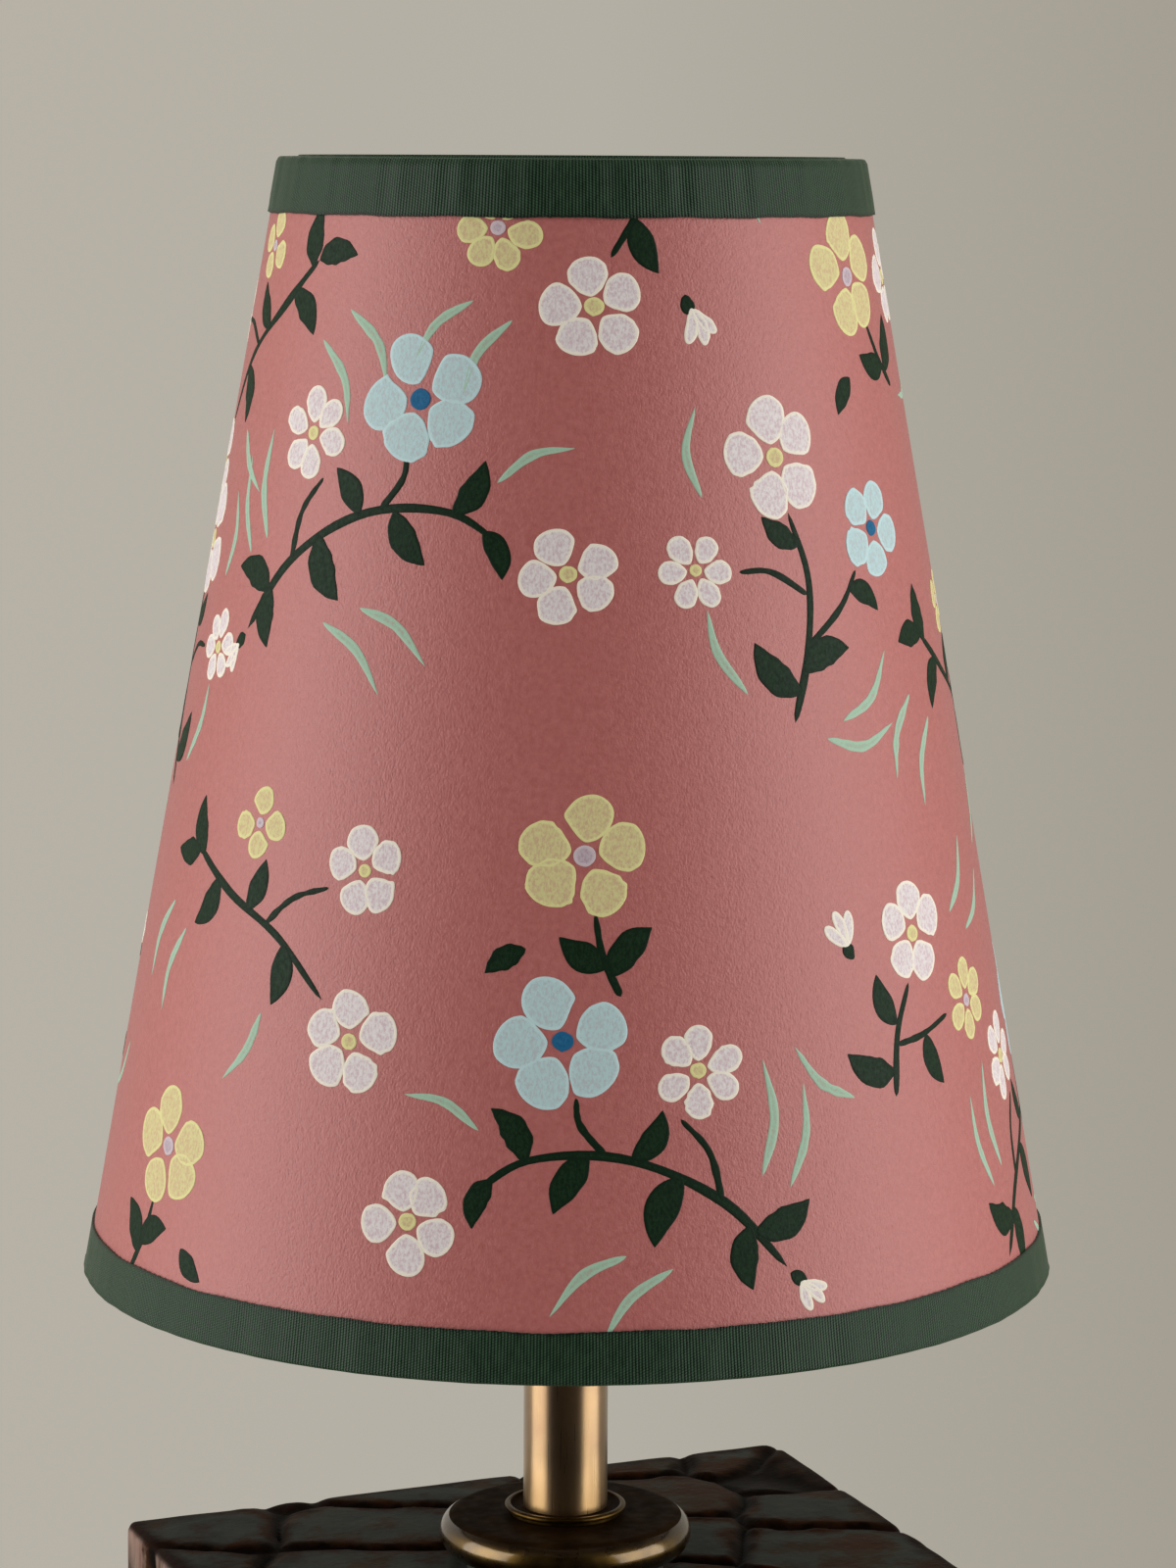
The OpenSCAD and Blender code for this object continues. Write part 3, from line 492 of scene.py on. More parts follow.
bronze = finish("rubbed flange brass", (88, 66, 30), 0.3, 1.0,
                {"Coat Weight": 1.0, "Coat Roughness": 0.13})
collar_z = FLANGE_Z + FLANGE_T
top_share = spread(bronze, height_of(bronze), 0, 1, (collar_z - 2.2) * MM, (collar_z - 0.6) * MM)
rim_tone = ramp(bronze, spots(bronze, 5, 6), [(0.3, (76, 56, 20)), (0.7, (108, 84, 38))])
top_tone = ramp(bronze, spots(bronze, 4, 6), [(0.3, (44, 28, 10)), (0.7, (66, 46, 18))])
feed(bronze, laid(bronze, top_share, rim_tone, top_tone), "Base Color")
feed(bronze, spread(bronze, spots(bronze, 2, 5), 0.24, 0.36), "Roughness")
feed(bronze, relief(bronze, spots(bronze, 0.5, 3), 0.006), "Normal")

# The flange's flat top and the collar's inner dish take an almost black, nearly matt brown.
umber = finish("dark flange top", (34, 22, 9), 0.6, sockets={"Specular IOR Level": 0.03})
mottle(umber, (5, 6, [(0.3, (24, 13, 4)), (0.5, (35, 21, 7)), (0.7, (46, 30, 11))]),
       (3, 5, 0.5, 0.7), (0.5, 3, 0.01))
points, faces = turned(np.concatenate([
    [[FLANGE_BORE_R, FLANGE_Z], [12, FLANGE_Z], [20, FLANGE_Z]],
    arc(FLANGE_R - FLANGE_T / 2, FLANGE_Z + FLANGE_T / 2, FLANGE_T / 2, -90, 90, 31),
    [[20, collar_z], [14, collar_z], [FLANGE_BORE_R, collar_z]]]))
flange = surface("turned_flange", points, faces, bronze, "base", ["brass_flange"], "dark_brass")
flange.data.materials.append(umber)
for face in flange.data.polygons:
    face.material_index = int(face.center.z > (collar_z - 0.5) * MM)

inner_r = STEM_R + 0.05
points, faces = turned(rounded([
    (inner_r, collar_z, 0), (COLLAR_R - 1.0, collar_z, 0.2), (COLLAR_R - 1.0, collar_z + 0.9, 0.2),
    (COLLAR_R - 0.5, collar_z + 0.95, 0.2), (COLLAR_R, collar_z + 1.15, 0.35),
    (COLLAR_R, collar_z + COLLAR_H - 0.3, 0.35), (COLLAR_R - 0.5, collar_z + COLLAR_H, 0.3),
    (COLLAR_R - 1.1, collar_z + COLLAR_H, 0.3), (COLLAR_R - 1.7, collar_z + 1.5, 0.3),
    (inner_r + 0.6, collar_z + 1.3, 0.4), (inner_r, collar_z + 1.7, 0.2)]))
collar_brass = finish("rubbed collar brass", (76, 56, 24), 0.34, 1.0)
mottle(collar_brass, (4, 6, [(0.3, (62, 44, 16)), (0.7, (96, 74, 36))]), (2, 5, 0.28, 0.42))
collar = surface("rolled_collar", points, faces, collar_brass, "base", ["stem_collar"],
                 "dark_brass")
collar.data.materials.append(umber)
for face in collar.data.polygons:
    face.material_index = int(face.center.xy.length < (COLLAR_R - 1.2) * MM
                              and face.center.z > (collar_z + 0.5) * MM)

satin = finish("satin antique brass", (146, 116, 74), 0.3, 1.0, {
    "Anisotropic": 0.5, "Anisotropic Rotation": 0.25, "Coat Weight": 1.0, "Coat Roughness": 0.3,
    "Coat IOR": 1.8})
brushing = spots(satin, 0.3, 4, (1, 1, 60))
patina = spots(satin, 9, 6)
aged = ramp(satin, patina, [(0.25, (146, 108, 58)), (0.5, (160, 124, 72)), (0.75, (170, 134, 82))])
# The lowest 14 mm of the stem is painted a paler brass: a painted highlight that keeps the softboxes'
# reflection bright down to the collar.
foot_highlight_share = spread(satin, height_of(satin), 1, 0, (collar_z + 1) * MM, (collar_z + 14) * MM)
feed(satin, laid(satin, foot_highlight_share, aged, (226, 182, 118)), "Base Color")
feed(satin, spread(satin, brushing, 0.26, 0.35), "Roughness")
feed(satin, relief(satin, brushing, 0.004), "Normal")
points, faces = turned(rounded([
    (STEM_BORE_R, collar_z, 0.2), (STEM_R, collar_z, 0.2), (STEM_R, collar_z + 8, 0),
    (STEM_R, 280, 0), (STEM_R, STEM_TOP, 0.3), (STEM_BORE_R, STEM_TOP, 0.3)]), 192)
surface("satin_stem", points, faces, satin, "base", ["stem_tube"], "brass")

# Threaded rod, washer and nut
# A zinc-plated steel tube with a rolled thread runs up the neck. A nut with chamfered corners
# draws it tight against a broad washer under the body's ceiling.
WASHER_R, WASHER_T, NUT_FLATS, NUT_H = 20.0, 2.0, 17.0, 6.0
NUT_HIGH = BODY_CEILING - WASHER_T
NUT_LOW = NUT_HIGH - NUT_H
ROD_R, ROD_BORE_R, ROD_LOW, ROD_HIGH = 5.0, 3.5, NUT_LOW - 6.0, 329.0
ROD_PITCH, ROD_THREAD_DEEP, ROD_THREAD_TOP, LONG_RUN = 1.0, 0.55, BODY_CEILING + 1.0, 45.0


def dense(profile, step, beyond):
    """The same closed outline with more points on its stretches outside a radius, where a thread
    is pressed; a stretch longer than the long run stays plain."""
    out = []
    for a, b in zip(profile, np.roll(profile, -1, 0)):
        length = np.linalg.norm(b - a)
        split = min(a[0], b[0]) > beyond and length < LONG_RUN
        count = math.ceil(length / step) if split else 1
        out.append(a + (b - a) * np.arange(count)[:, None] / count)
    return np.concatenate(out)


def pressed_thread(points, pitch, deep, low, high, beyond):
    """Presses a screw thread into a turned grid between two heights, outside a radius.

    The radius falls by deep times a half less half the cosine of height over pitch less the turn,
    and the thread fades in over one pitch at both ends.
    """
    x, y, z = np.moveaxis(points, -1, 0)
    r = np.hypot(x, y)
    fade = np.clip((z - low) / pitch, 0, 1) * np.clip((high - z) / pitch, 0, 1) * (r > beyond)
    dip = deep * fade * (0.5 - 0.5 * np.cos(2 * math.pi * z / pitch - np.arctan2(y, x)))
    return np.stack([x * (1 - dip / r), y * (1 - dip / r), z], -1)


zinc = finish("zinc-plated steel", (176, 174, 166), 0.32, 1.0)
mottle(zinc, (6, 6, [(0.3, (150, 150, 146)), (0.5, (178, 175, 164)), (0.72, (196, 190, 170))]),
       (1.5, 5, 0.26, 0.46), (0.4, 3, 0.008))
profile = dense(rounded([
    (ROD_BORE_R, ROD_LOW, 0.2), (ROD_R - 0.5, ROD_LOW, 0.1), (ROD_R, ROD_LOW + 0.5, 0.1),
    (ROD_R, ROD_THREAD_TOP, 0), (ROD_R, ROD_HIGH - 7, 0), (ROD_R, ROD_HIGH - 0.5, 0.1),
    (ROD_R - 0.5, ROD_HIGH, 0.1), (ROD_BORE_R, ROD_HIGH, 0.2)]), ROD_PITCH / 8, ROD_R - 0.05)
points, faces = turned(profile, 48)
points = pressed_thread(points, ROD_PITCH, ROD_THREAD_DEEP, ROD_LOW, ROD_HIGH, ROD_R - 0.3)
surface("rolled_thread_rod", points, faces, zinc, "base", ["threaded_rod"], "plated_steel")

points, faces = turned(rounded([
    (ROD_R + 0.1, NUT_HIGH, 0.3), (WASHER_R, NUT_HIGH, 0.4), (WASHER_R, BODY_CEILING, 0.4),
    (ROD_R + 0.1, BODY_CEILING, 0.3)]), 128)
surface("broad_washer", points, faces, zinc, "base", ["inner_washer"], "plated_steel")

# A hexagon's radius is half its width over the cosine of the angle from the nearest flat
turn = circle(288)
hexagon = NUT_FLATS / 2 / np.cos(np.mod(turn, math.pi / 3) - math.pi / 6)
chamfer = np.array([[ROD_R + 0.05, 0], [ROD_R + 0.6, 0], [8.0, 0], [8.25, 0.03], [8.7, 0.3],
                    [9.2, 0.6], [9.9, 1.0], [9.9, 2.0]])
limit = np.concatenate([chamfer[:, 0], chamfer[::-1, 0]])
z = np.concatenate([NUT_LOW + chamfer[:, 1], NUT_HIGH - chamfer[::-1, 1]])
r = np.minimum(limit[:, None], hexagon)
surface("chamfered_nut", round_axis(r, turn, z[:, None]), quads(*r.shape, True, True), zinc, "base",
        ["inner_nut"], "plated_steel", crease=24)

# Lampholder cap and skirt
# Two cups spun from brass sheet, polished and lacquered. The cap has round holes for the push
# bar, and the skirt screws into it and carries a coarse rolled thread for the shade rings.
SKIRT_Z, SKIRT_TOP, HOLDER_R, HOLDER_CORE_R, CAP_LAP = 352.0, 384.0, 19.7, 17.6, 3.2
SKIRT_MOUTH_R, SKIRT_PITCH, SKIRT_THREAD_DEEP = 14.1, 2.1, 0.5

spun = finish("spun lampholder brass", (206, 172, 118), 0.24, 1.0)
spin_lines = spots(spun, 0.3, 4, (60, 60, 1))
feed(spun, ramp(spun, spots(spun, 8, 6), [(0.28, (184, 148, 94)), (0.5, (206, 172, 118)),
                                          (0.72, (216, 186, 134))]), "Base Color")
feed(spun, spread(spun, spin_lines, 0.2, 0.32), "Roughness")
feed(spun, relief(spun, spin_lines, 0.004), "Normal")


def smoothed(name, node, made, body):
    """A piece from a copy of a CAD node's mesh, welded and shaded smoothly."""
    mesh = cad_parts[node].data.copy()
    mesh.name = name
    return placed(mesh, made, body, [node], 30)


smoothed("spun_cap", "holder_cap", spun, "base")
neck_r, inner_r = HOLDER_R - 0.95, HOLDER_CORE_R + 0.15
profile = dense(rounded([
    (inner_r, SKIRT_Z - CAP_LAP, 0.2), (neck_r, SKIRT_Z - CAP_LAP, 0.3), (neck_r, SKIRT_Z + 0.05, 0),
    (HOLDER_R + 0.8, SKIRT_Z + 0.05, 0.5), (HOLDER_R + 0.8, SKIRT_Z + 1.5, 0.6),
    (HOLDER_R, SKIRT_Z + 1.9, 0.3), (HOLDER_R, SKIRT_TOP - 0.7, 0.1), (HOLDER_R - 0.7, SKIRT_TOP, 0.6),
    (SKIRT_MOUTH_R, SKIRT_TOP, 0.5), (SKIRT_MOUTH_R, SKIRT_TOP - 1.4, 0.3),
    (inner_r, SKIRT_TOP - 1.4, 0.3)]), SKIRT_PITCH / 9, HOLDER_R - 0.02)
points, faces = turned(profile, 144)
points = pressed_thread(points, SKIRT_PITCH, SKIRT_THREAD_DEEP, SKIRT_Z + 3, SKIRT_TOP - 1,
                        HOLDER_R - 0.1)
surface("threaded_skirt", points, faces, spun, "base", ["holder_skirt"], "holder_brass")

# Porcelain core and contacts
# A glazed porcelain core, pressed and fired in one piece, carries a rolled brass liner for the
# bulb's cap, a springy centre tongue, a side tongue and two terminal screws.
CORE_FLOOR, LINER_TOP, LINER_R, LINER_T, LINER_PITCH = 356.2, 382.3, 13.75, 0.35, 3.6

porcelain = finish("glazed porcelain", (226, 221, 208), 0.22, sockets={"Coat Weight": 0.4})
mottle(porcelain, (5, 6, [(0.3, (216, 210, 195)), (0.7, (232, 228, 217))]), (3, 4, 0.16, 0.34),
       (1.5, 3, 0.03))
smoothed("fired_core", "holder_core", porcelain, "base")

bare_brass = finish("bare contact brass", (214, 184, 120), 0.3, 1.0)
mottle(bare_brass, (3, 6, [(0.3, (188, 152, 92)), (0.7, (222, 194, 132))]), (1, 5, 0.22, 0.42),
       (0.4, 3, 0.006))
profile = dense(np.array([[LINER_R, CORE_FLOOR], [LINER_R + LINER_T, CORE_FLOOR],
                          [LINER_R + LINER_T, LINER_TOP], [LINER_R, LINER_TOP]]),
                LINER_PITCH / 12, LINER_R - 0.1)
points, faces = turned(profile, 120)
points = pressed_thread(points, LINER_PITCH, 0.5, CORE_FLOOR + 1.5, LINER_TOP - 1, LINER_R - 0.1)
surface("rolled_liner", points, faces, bare_brass, "base", ["screw_liner"], "contact_brass")
smoothed("centre_tongue", "centre_contact", bare_brass, "base")
smoothed("side_tongue", "side_contact", bare_brass, "base")


def joined(parts):
    """Several grids as one list of points and faces."""
    offsets = np.cumsum([0] + [points.size // 3 for points, _ in parts])
    return (np.concatenate([points.reshape(-1, 3) for points, _ in parts]),
            np.concatenate([faces + offset for (_, faces), offset in zip(parts, offsets)]))


# A slotted screw head: a disc with a domed rim, its face cut by a straight slot
SCREW_R, SCREW_LEN, SCREW_X, SCREW_Y, SCREW_Z, SLOT_HALF = 1.75, 3.0, 9.0, 14.525, 343.7, 0.28
reach = np.concatenate([np.linspace(0, 0.9, 16), [0.97, 1.0, 1.0, 0.0]]) * SCREW_R
turn = circle(72)
across, along = reach[:, None] * np.cos(turn), reach[:, None] * np.sin(turn)
sunk = np.concatenate([np.zeros(16), [0.12, 0.4, SCREW_LEN, SCREW_LEN]])[:, None] + 0.7 * (
    np.arange(20)[:, None] < 18) * (np.abs(across) < SLOT_HALF)
heads = [(np.stack([x + across, -SCREW_Y + sunk, SCREW_Z + along], -1), quads(20, 72, False, True))
         for x in (-SCREW_X, SCREW_X)]
surface("slotted_terminals", *joined(heads), bare_brass, "base", ["terminal_screws"], "contact_brass")

# Shade rings
# Two turned brass rings on the skirt's thread clamp the carrier between their flanges. Each has
# a grip with twenty round flutes, cut with a ball-nosed mill.
RING_T, RING_FLANGE_T, RING_R, RING_STEP = 5.5, 1.6, 26.5, 1.8
FLUTES, FLUTE_R, FLUTE_DEEP = 20, 1.5, 0.8
LOWER_RING_TOP, UPPER_RING_Z = 371.5, 373.1


def fluted(z_of):
    """A shade ring, its profile turned and its grip's wall drawn in at each flute.

    The wall's radius is the flute circle's near side where the turn crosses it: the circle's
    centre times the cosine, less the root of its radius squared less the offset squared.
    """
    grip = RING_R - RING_STEP
    inner = HOLDER_R + 0.05
    profile = rounded([(inner, 0, 0.3), (RING_R, 0, 0.35), (RING_R, RING_FLANGE_T, 0.5),
                       (grip, RING_FLANGE_T, 0.25), (grip, RING_T, 0.5), (inner, RING_T, 0.3)])
    points, faces = turned(profile, 480)
    x, y, z = np.moveaxis(points, -1, 0)
    r = np.hypot(x, y)
    off = np.mod(np.arctan2(y, x) + math.pi / FLUTES, 2 * math.pi / FLUTES) - math.pi / FLUTES
    middle = grip - FLUTE_DEEP + FLUTE_R
    cut = middle * np.cos(off) - np.sqrt(np.maximum(FLUTE_R ** 2 - (middle * np.sin(off)) ** 2, 0))
    cut = np.where(np.abs(middle * np.sin(off)) < FLUTE_R, cut, grip)
    drawn_in = np.minimum(r, cut - (grip - np.minimum(r, grip)) * 0.5)
    trimmed = np.where(z > RING_FLANGE_T + 0.02, drawn_in, r)
    trimmed = np.where(r > inner + 1, trimmed, r)
    return np.stack([x * trimmed / r, y * trimmed / r, z_of(z)], -1), faces


for name, z_of in (("lower_shade_ring", lambda z: LOWER_RING_TOP - z),
                   ("upper_shade_ring", lambda z: UPPER_RING_Z + z)):
    points, faces = fluted(z_of)
    surface("fluted_" + name, points, faces, spun, "base", [name], "holder_brass")

# Push bar
# A drawn brass bar through the lampholder with a turned knob screwed on each end. It slides
# from side to side to switch the lamp.
BAR_R, BAR_Z, BAR_LOW, BAR_HIGH = 2.0, 345.5, -25.9, 19.9
KNOB_R, KNOB_LEN, KNOB_NECK = 3.6, 7.0, 1.2


def turned_along_x(profile):
    """A closed profile (radius, place along X) carried round the push bar's axis."""
    points, faces = turned(profile, 64)
    return np.stack([points[..., 2], points[..., 0], points[..., 1] + BAR_Z], -1), faces


points, faces = turned_along_x([[0, BAR_LOW], [BAR_R, BAR_LOW], [BAR_R, BAR_HIGH], [0, BAR_HIGH]])
surface("drawn_bar", points, faces, spun, "switch", ["switch_bar"], "holder_brass")
knobs = []
for end, way in ((BAR_LOW, -1), (BAR_HIGH, 1)):
    outline = np.concatenate([
        [[0, 0], [BAR_R + KNOB_NECK, 0.0], [BAR_R + KNOB_NECK + 0.05, 0.7], [KNOB_R - 0.25, 1.9],
         [KNOB_R - 0.02, 2.3], [KNOB_R, 2.6], [KNOB_R, 3.3], [KNOB_R - 0.22, 3.5], [KNOB_R - 0.22, 3.75],
         [KNOB_R, 3.95], [KNOB_R, 5.0]],
        arc(KNOB_R - 1.4, KNOB_LEN - 1.4, 1.4, 0, 80, 8), [[1.2, KNOB_LEN], [0, KNOB_LEN]]])
    points, faces = turned_along_x(outline * [1, way] + [0, end])
    knobs.append((points, faces[:, ::-way]))
surface("turned_knobs", *joined(knobs), spun, "switch", ["switch_knobs"], "holder_brass")

# Shade carrier
# A brass washer with three bent wires brazed on it, which rise round the bulb to a wire ring
# that holds the shade's fitter. A small fillet of braze shows at every joint.
SEAT_IN_R, SEAT_OUT_R, SEAT_Z, SEAT_T = 20.0, 30.5, 371.7, 1.2
WIRE_R, CARRIER_R, CARRIER_RING_Z, CARRIER_BEND = 1.5, 36.0, 498.2, 5.0
FOOT_R, FOOT_Z, CARRIER_TURNS = 27.3, 374.45, (30, 150, 270)


def wire(path, radius, turn_deg, sides=24):
    """A round wire along a path in an upright plane through the axis, its ends slightly domed.

    The path is (distance from the axis, height). The circle stands square to the path: one of
    its directions is the plane's normal and the other is the normal crossed with the path.
    """
    path = np.asarray(path, float)
    step = np.gradient(path, axis=0)
    step /= np.linalg.norm(step, axis=1, keepdims=True)
    ends = [0, 0, 0, *range(len(path)), -1, -1, -1]
    size = radius * np.concatenate([[0, 0.7, 0.95], np.ones(len(path)), [0.95, 0.7, 0]])
    push = radius * np.concatenate([[-0.3, -0.24, -0.1], np.zeros(len(path)), [0.1, 0.24, 0.3]])
    path, step = path[ends] + step[ends] * push[:, None], step[ends]
    a = circle(sides)
    out = path[:, :1] - step[:, 1:] * np.sin(a) * size[:, None]
    high = path[:, 1:] + step[:, :1] * np.sin(a) * size[:, None]
    side = np.cos(a) * size[:, None]
    c, s = math.cos(math.radians(turn_deg)), math.sin(math.radians(turn_deg))
    points = np.stack([out * c - side * s, out * s + side * c, high], -1)
    return points, quads(len(path), sides, False, True)


def bead(out, high, turn_deg, size, tilt):
    """A fillet of braze or weld: a ball of latitudes and turns, flattened by tilt in height."""
    lat = np.linspace(-math.pi / 2, math.pi / 2, 13)[:, None]
    a = circle(20)
    c, s = math.cos(math.radians(turn_deg)), math.sin(math.radians(turn_deg))
    return np.stack([out * c + size * np.cos(lat) * np.cos(a), out * s + size * np.cos(lat) * np.sin(a),
                     high + size * tilt * np.sin(lat) + 0 * a], -1), quads(13, 20, False, True)


def torus(ring_r, z, wire_r, around=192):
    """A ring of round wire about the axis."""
    return turned(arc(ring_r, z, wire_r, 0, 345, 24), around)


points, faces = turned(rounded([(SEAT_IN_R, SEAT_Z, 0.3), (SEAT_OUT_R, SEAT_Z, 0.4),
                                (SEAT_OUT_R, SEAT_Z + SEAT_T, 0.4), (SEAT_IN_R, SEAT_Z + SEAT_T, 0.3)]))
surface("punched_seat", points, faces, spun, "carrier", ["carrier_seat"], "holder_brass")
bend = arc(CARRIER_R - CARRIER_BEND, FOOT_Z + CARRIER_BEND, CARRIER_BEND, -90, 0, 14)
run = np.stack([np.linspace(FOOT_R, CARRIER_R - CARRIER_BEND, 4)[:-1], np.full(3, FOOT_Z)], -1)
rise = np.linspace([CARRIER_R, FOOT_Z + CARRIER_BEND], [CARRIER_R, CARRIER_RING_Z - 0.4], 13)[1:]
parts = [wire(np.concatenate([run, bend, rise]), WIRE_R, t) for t in CARRIER_TURNS]
parts += [bead(CARRIER_R, CARRIER_RING_Z - 1.3, t, 1.85, 0.8) for t in CARRIER_TURNS]
parts += [bead(FOOT_R + 0.9, FOOT_Z - 0.9, t, 1.9, 0.45) for t in CARRIER_TURNS]
surface("bent_wires", *joined(parts), spun, "carrier", ["carrier_wires"], "holder_brass")
surface("wire_ring", *torus(CARRIER_R, CARRIER_RING_Z, WIRE_R), spun, "carrier", ["carrier_ring"],
        "holder_brass")

# Bulb
# A clear globe bulb: blown glass on a flared mount, four coated filament rods on fine leads,
# a rolled nickel-plated screw cap, a black glass insulator and a soldered contact.
BULB_Z, BULB_TIP_H, INSULATOR_H, BULB_CAP_H, GLASS_FOOT_H = 358.6, 1.8, 6.5, 25.5, 21.0
BULB_CAP_R, BULB_CAP_T, BULB_PITCH, BULB_THREAD_DEEP = 13.1, 0.35, 3.6, 0.75
BALL_R, BALL_H, GLASS_T, SHOULDER, SHOULDER_PULL = 30.0, 75.0, 0.7, math.radians(-35), 13.0
MOUNT_ROD_R, FILAMENT_R, FILAMENT_H, FILAMENT_LEN = 1.8, 10.0, 55.0, 34.0


def cubic(p0, p1, p2, p3, steps):
    """Points along a cubic curve with two handles."""
    t = np.linspace(0, 1, steps)[:, None]
    return ((1 - t) ** 3 * p0 + 3 * (1 - t) ** 2 * t * p1 + 3 * (1 - t) * t ** 2 * p2 + t ** 3 * p3)


def glass_wall(inset):
    """The globe's outline from its neck, over the shoulder's curve, round the ball to its top."""
    ball, neck = BALL_R - inset, BULB_CAP_R + 1 - inset
    shoulder = np.array([ball * math.cos(SHOULDER), BALL_H + ball * math.sin(SHOULDER)])
    way = np.array([-math.sin(SHOULDER), math.cos(SHOULDER)])
    start = np.array([neck, BULB_CAP_H + 1.5])
    rise = cubic(start, start + [0, SHOULDER_PULL], shoulder - SHOULDER_PULL * way, shoulder, 16)
    ball_line = arc(0, BALL_H, ball, math.degrees(SHOULDER), 90, 40)[1:]
    return np.concatenate([rise, ball_line]) + [0, BULB_Z]


glass = finish("clear bulb glass", (250, 250, 247), 0.02,
               sockets={"Transmission Weight": 1.0, "IOR": 1.5})
feed(glass, spread(glass, spots(glass, 12, 4), 0.0, 0.035), "Roughness")
feed(glass, relief(glass, spots(glass, 18, 2), 0.05), "Normal")
tail = np.array([[BULB_CAP_R - 1.3, BULB_Z + GLASS_FOOT_H], [BULB_CAP_R - 1.0, BULB_Z + BULB_CAP_H - 0.1],
                 [BULB_CAP_R + 0.3, BULB_Z + BULB_CAP_H + 0.3]])
points, faces = turned(np.concatenate([tail, glass_wall(0), glass_wall(GLASS_T)[::-1],
                                       tail[:0:-1] - [GLASS_T + 0.1, 0], tail[:1] - [GLASS_T, 0]]), 128)
surface("blown_globe", points, faces, glass, "bulb", ["bulb_glass"], "clear_glass", crease=80)

mount_foot = np.array([BULB_CAP_R - 2.2, BULB_Z + GLASS_FOOT_H])
stem_line = cubic(mount_foot + [0, 0.7], mount_foot * [0.5, 1] + [0, 0.7],
                  np.array([3.4, BULB_Z + 23]), np.array([3.0, BULB_Z + 33]), 14)
points, faces = turned(np.concatenate([
    [[0, BULB_Z + GLASS_FOOT_H], mount_foot], stem_line,
    [[2.6, BULB_Z + 35], [MOUNT_ROD_R, BULB_Z + 37.5], [MOUNT_ROD_R, BULB_Z + FILAMENT_H + FILAMENT_LEN]],
    arc(0, BULB_Z + FILAMENT_H + FILAMENT_LEN, MOUNT_ROD_R, 20, 90, 6)]), 64)
surface("flared_mount", points, faces, glass, "bulb", ["bulb_mount"], "clear_glass", crease=50)

nickel = finish("nickel-plated cap", (198, 194, 184), 0.24, 1.0)
mottle(nickel, (5, 6, [(0.3, (176, 172, 160)), (0.7, (208, 205, 196))]), (1.2, 5, 0.18, 0.36),
       (0.4, 3, 0.006))
cap_low, cap_high = BULB_Z + INSULATOR_H, BULB_Z + BULB_CAP_H
cap_inner_r = BULB_CAP_R - BULB_CAP_T
profile = dense(rounded([
    (cap_inner_r - 0.8, cap_low, 0.1), (BULB_CAP_R - 0.8, cap_low, 0.3),
    (BULB_CAP_R, cap_low + 1.2, 0.6), (BULB_CAP_R, cap_high, 0.15), (cap_inner_r, cap_high, 0.1),
    (cap_inner_r, cap_low + 1.3, 0.6)]), BULB_PITCH / 14, cap_inner_r - 0.1)
points, faces = turned(profile, 120)
points = pressed_thread(points, BULB_PITCH, BULB_THREAD_DEEP, cap_low + 0.8, cap_high - 3,
                        BULB_CAP_R - 0.6)
surface("rolled_cap", points, faces, nickel, "bulb", ["bulb_cap"], "nickel")

vitrite = finish("black glass insulator", (20, 20, 23), 0.12, sockets={"Coat Weight": 0.5})
mottle(vitrite, (3, 5, [(0.3, (14, 14, 16)), (0.7, (34, 33, 38))]), bumps=(1.0, 3, 0.03))
points, faces = turned(np.array([
    [0, BULB_TIP_H], [4.5, BULB_TIP_H], [4.9, BULB_TIP_H + 0.1], [6.6, 3.0], [6.9, 3.35], [7.4, 3.4],
    [11.4, 5.2], [11.9, 5.3], [12.25, 5.6], [12.3, INSULATOR_H], [0, INSULATOR_H]]) + [0, BULB_Z], 96)
surface("glass_insulator", points, faces, vitrite, "bulb", ["bulb_insulator"], "black_glass")
points, faces = turned(np.array([
    [0, 0.0], [0.9, 0.04], [1.7, 0.18], [2.5, 0.5], [3.3, 0.72], [4.1, 1.1], [4.5, 1.45],
    [4.5, BULB_TIP_H], [0, BULB_TIP_H]]) + [0, BULB_Z], 64)
surface("soldered_tip", points, faces, nickel, "bulb", ["bulb_contact"], "nickel")

phosphor = finish("filament coating", (232, 176, 62), 0.6, sockets={"Sheen Weight": 0.1})
mottle(phosphor, (0.8, 5, [(0.3, (222, 156, 44)), (0.7, (240, 196, 92))]), bumps=(0.4, 4, 0.06))
rod_line = np.concatenate([arc(0, 0.8, 0.8, -90, 0, 5), arc(0, FILAMENT_LEN - 0.8, 0.8, 0, 90, 5)])
rods, leads = [], []
for quarter in range(4):
    a = quarter * math.pi / 2
    rods.append(turned(rod_line + [0, BULB_Z + FILAMENT_H], 20,
                       (FILAMENT_R * math.cos(a), FILAMENT_R * math.sin(a))))
    t = np.linspace(0, 1, 12)
    for lift, dip in ((0.5, -1.4), (FILAMENT_LEN - 0.5, 1.2)):
        lead = np.stack([MOUNT_ROD_R - 0.1 + (FILAMENT_R - MOUNT_ROD_R) * t,
                         BULB_Z + FILAMENT_H + lift + dip * np.sin(math.pi * t)], -1)
        leads.append(wire(lead, 0.3, math.degrees(a), 10))
surface("filament_rods", *joined(rods), phosphor, "bulb", ["bulb_filaments"], "filament")
surface("filament_leads", *joined(leads), nickel, "bulb")

# Shade frame
# A steel wire ring inside each edge of the shade, and three arms that drop from the top ring to a
# pressed fitter ring. They are spot welded and coated white, and the fitter rests on the carrier.
RING_D, TOP_RING_R, TOP_RING_Z, LOW_RING_R, LOW_RING_Z = 3.2, 56.5, 522.85, 96.6, 300.15
FITTER_HOLE_R, FITTER_LIP_R, FITTER_T, FITTER_LOW, FITTER_Z = 33.4, 38.4, 1.0, 497.2, 500.0
ARM_D, ARM_Z, ARM_START_R, ARM_TURNS, ARM_SLOPE = 2.6, 502.4, 34.4, (90, 210, 330), math.radians(54)

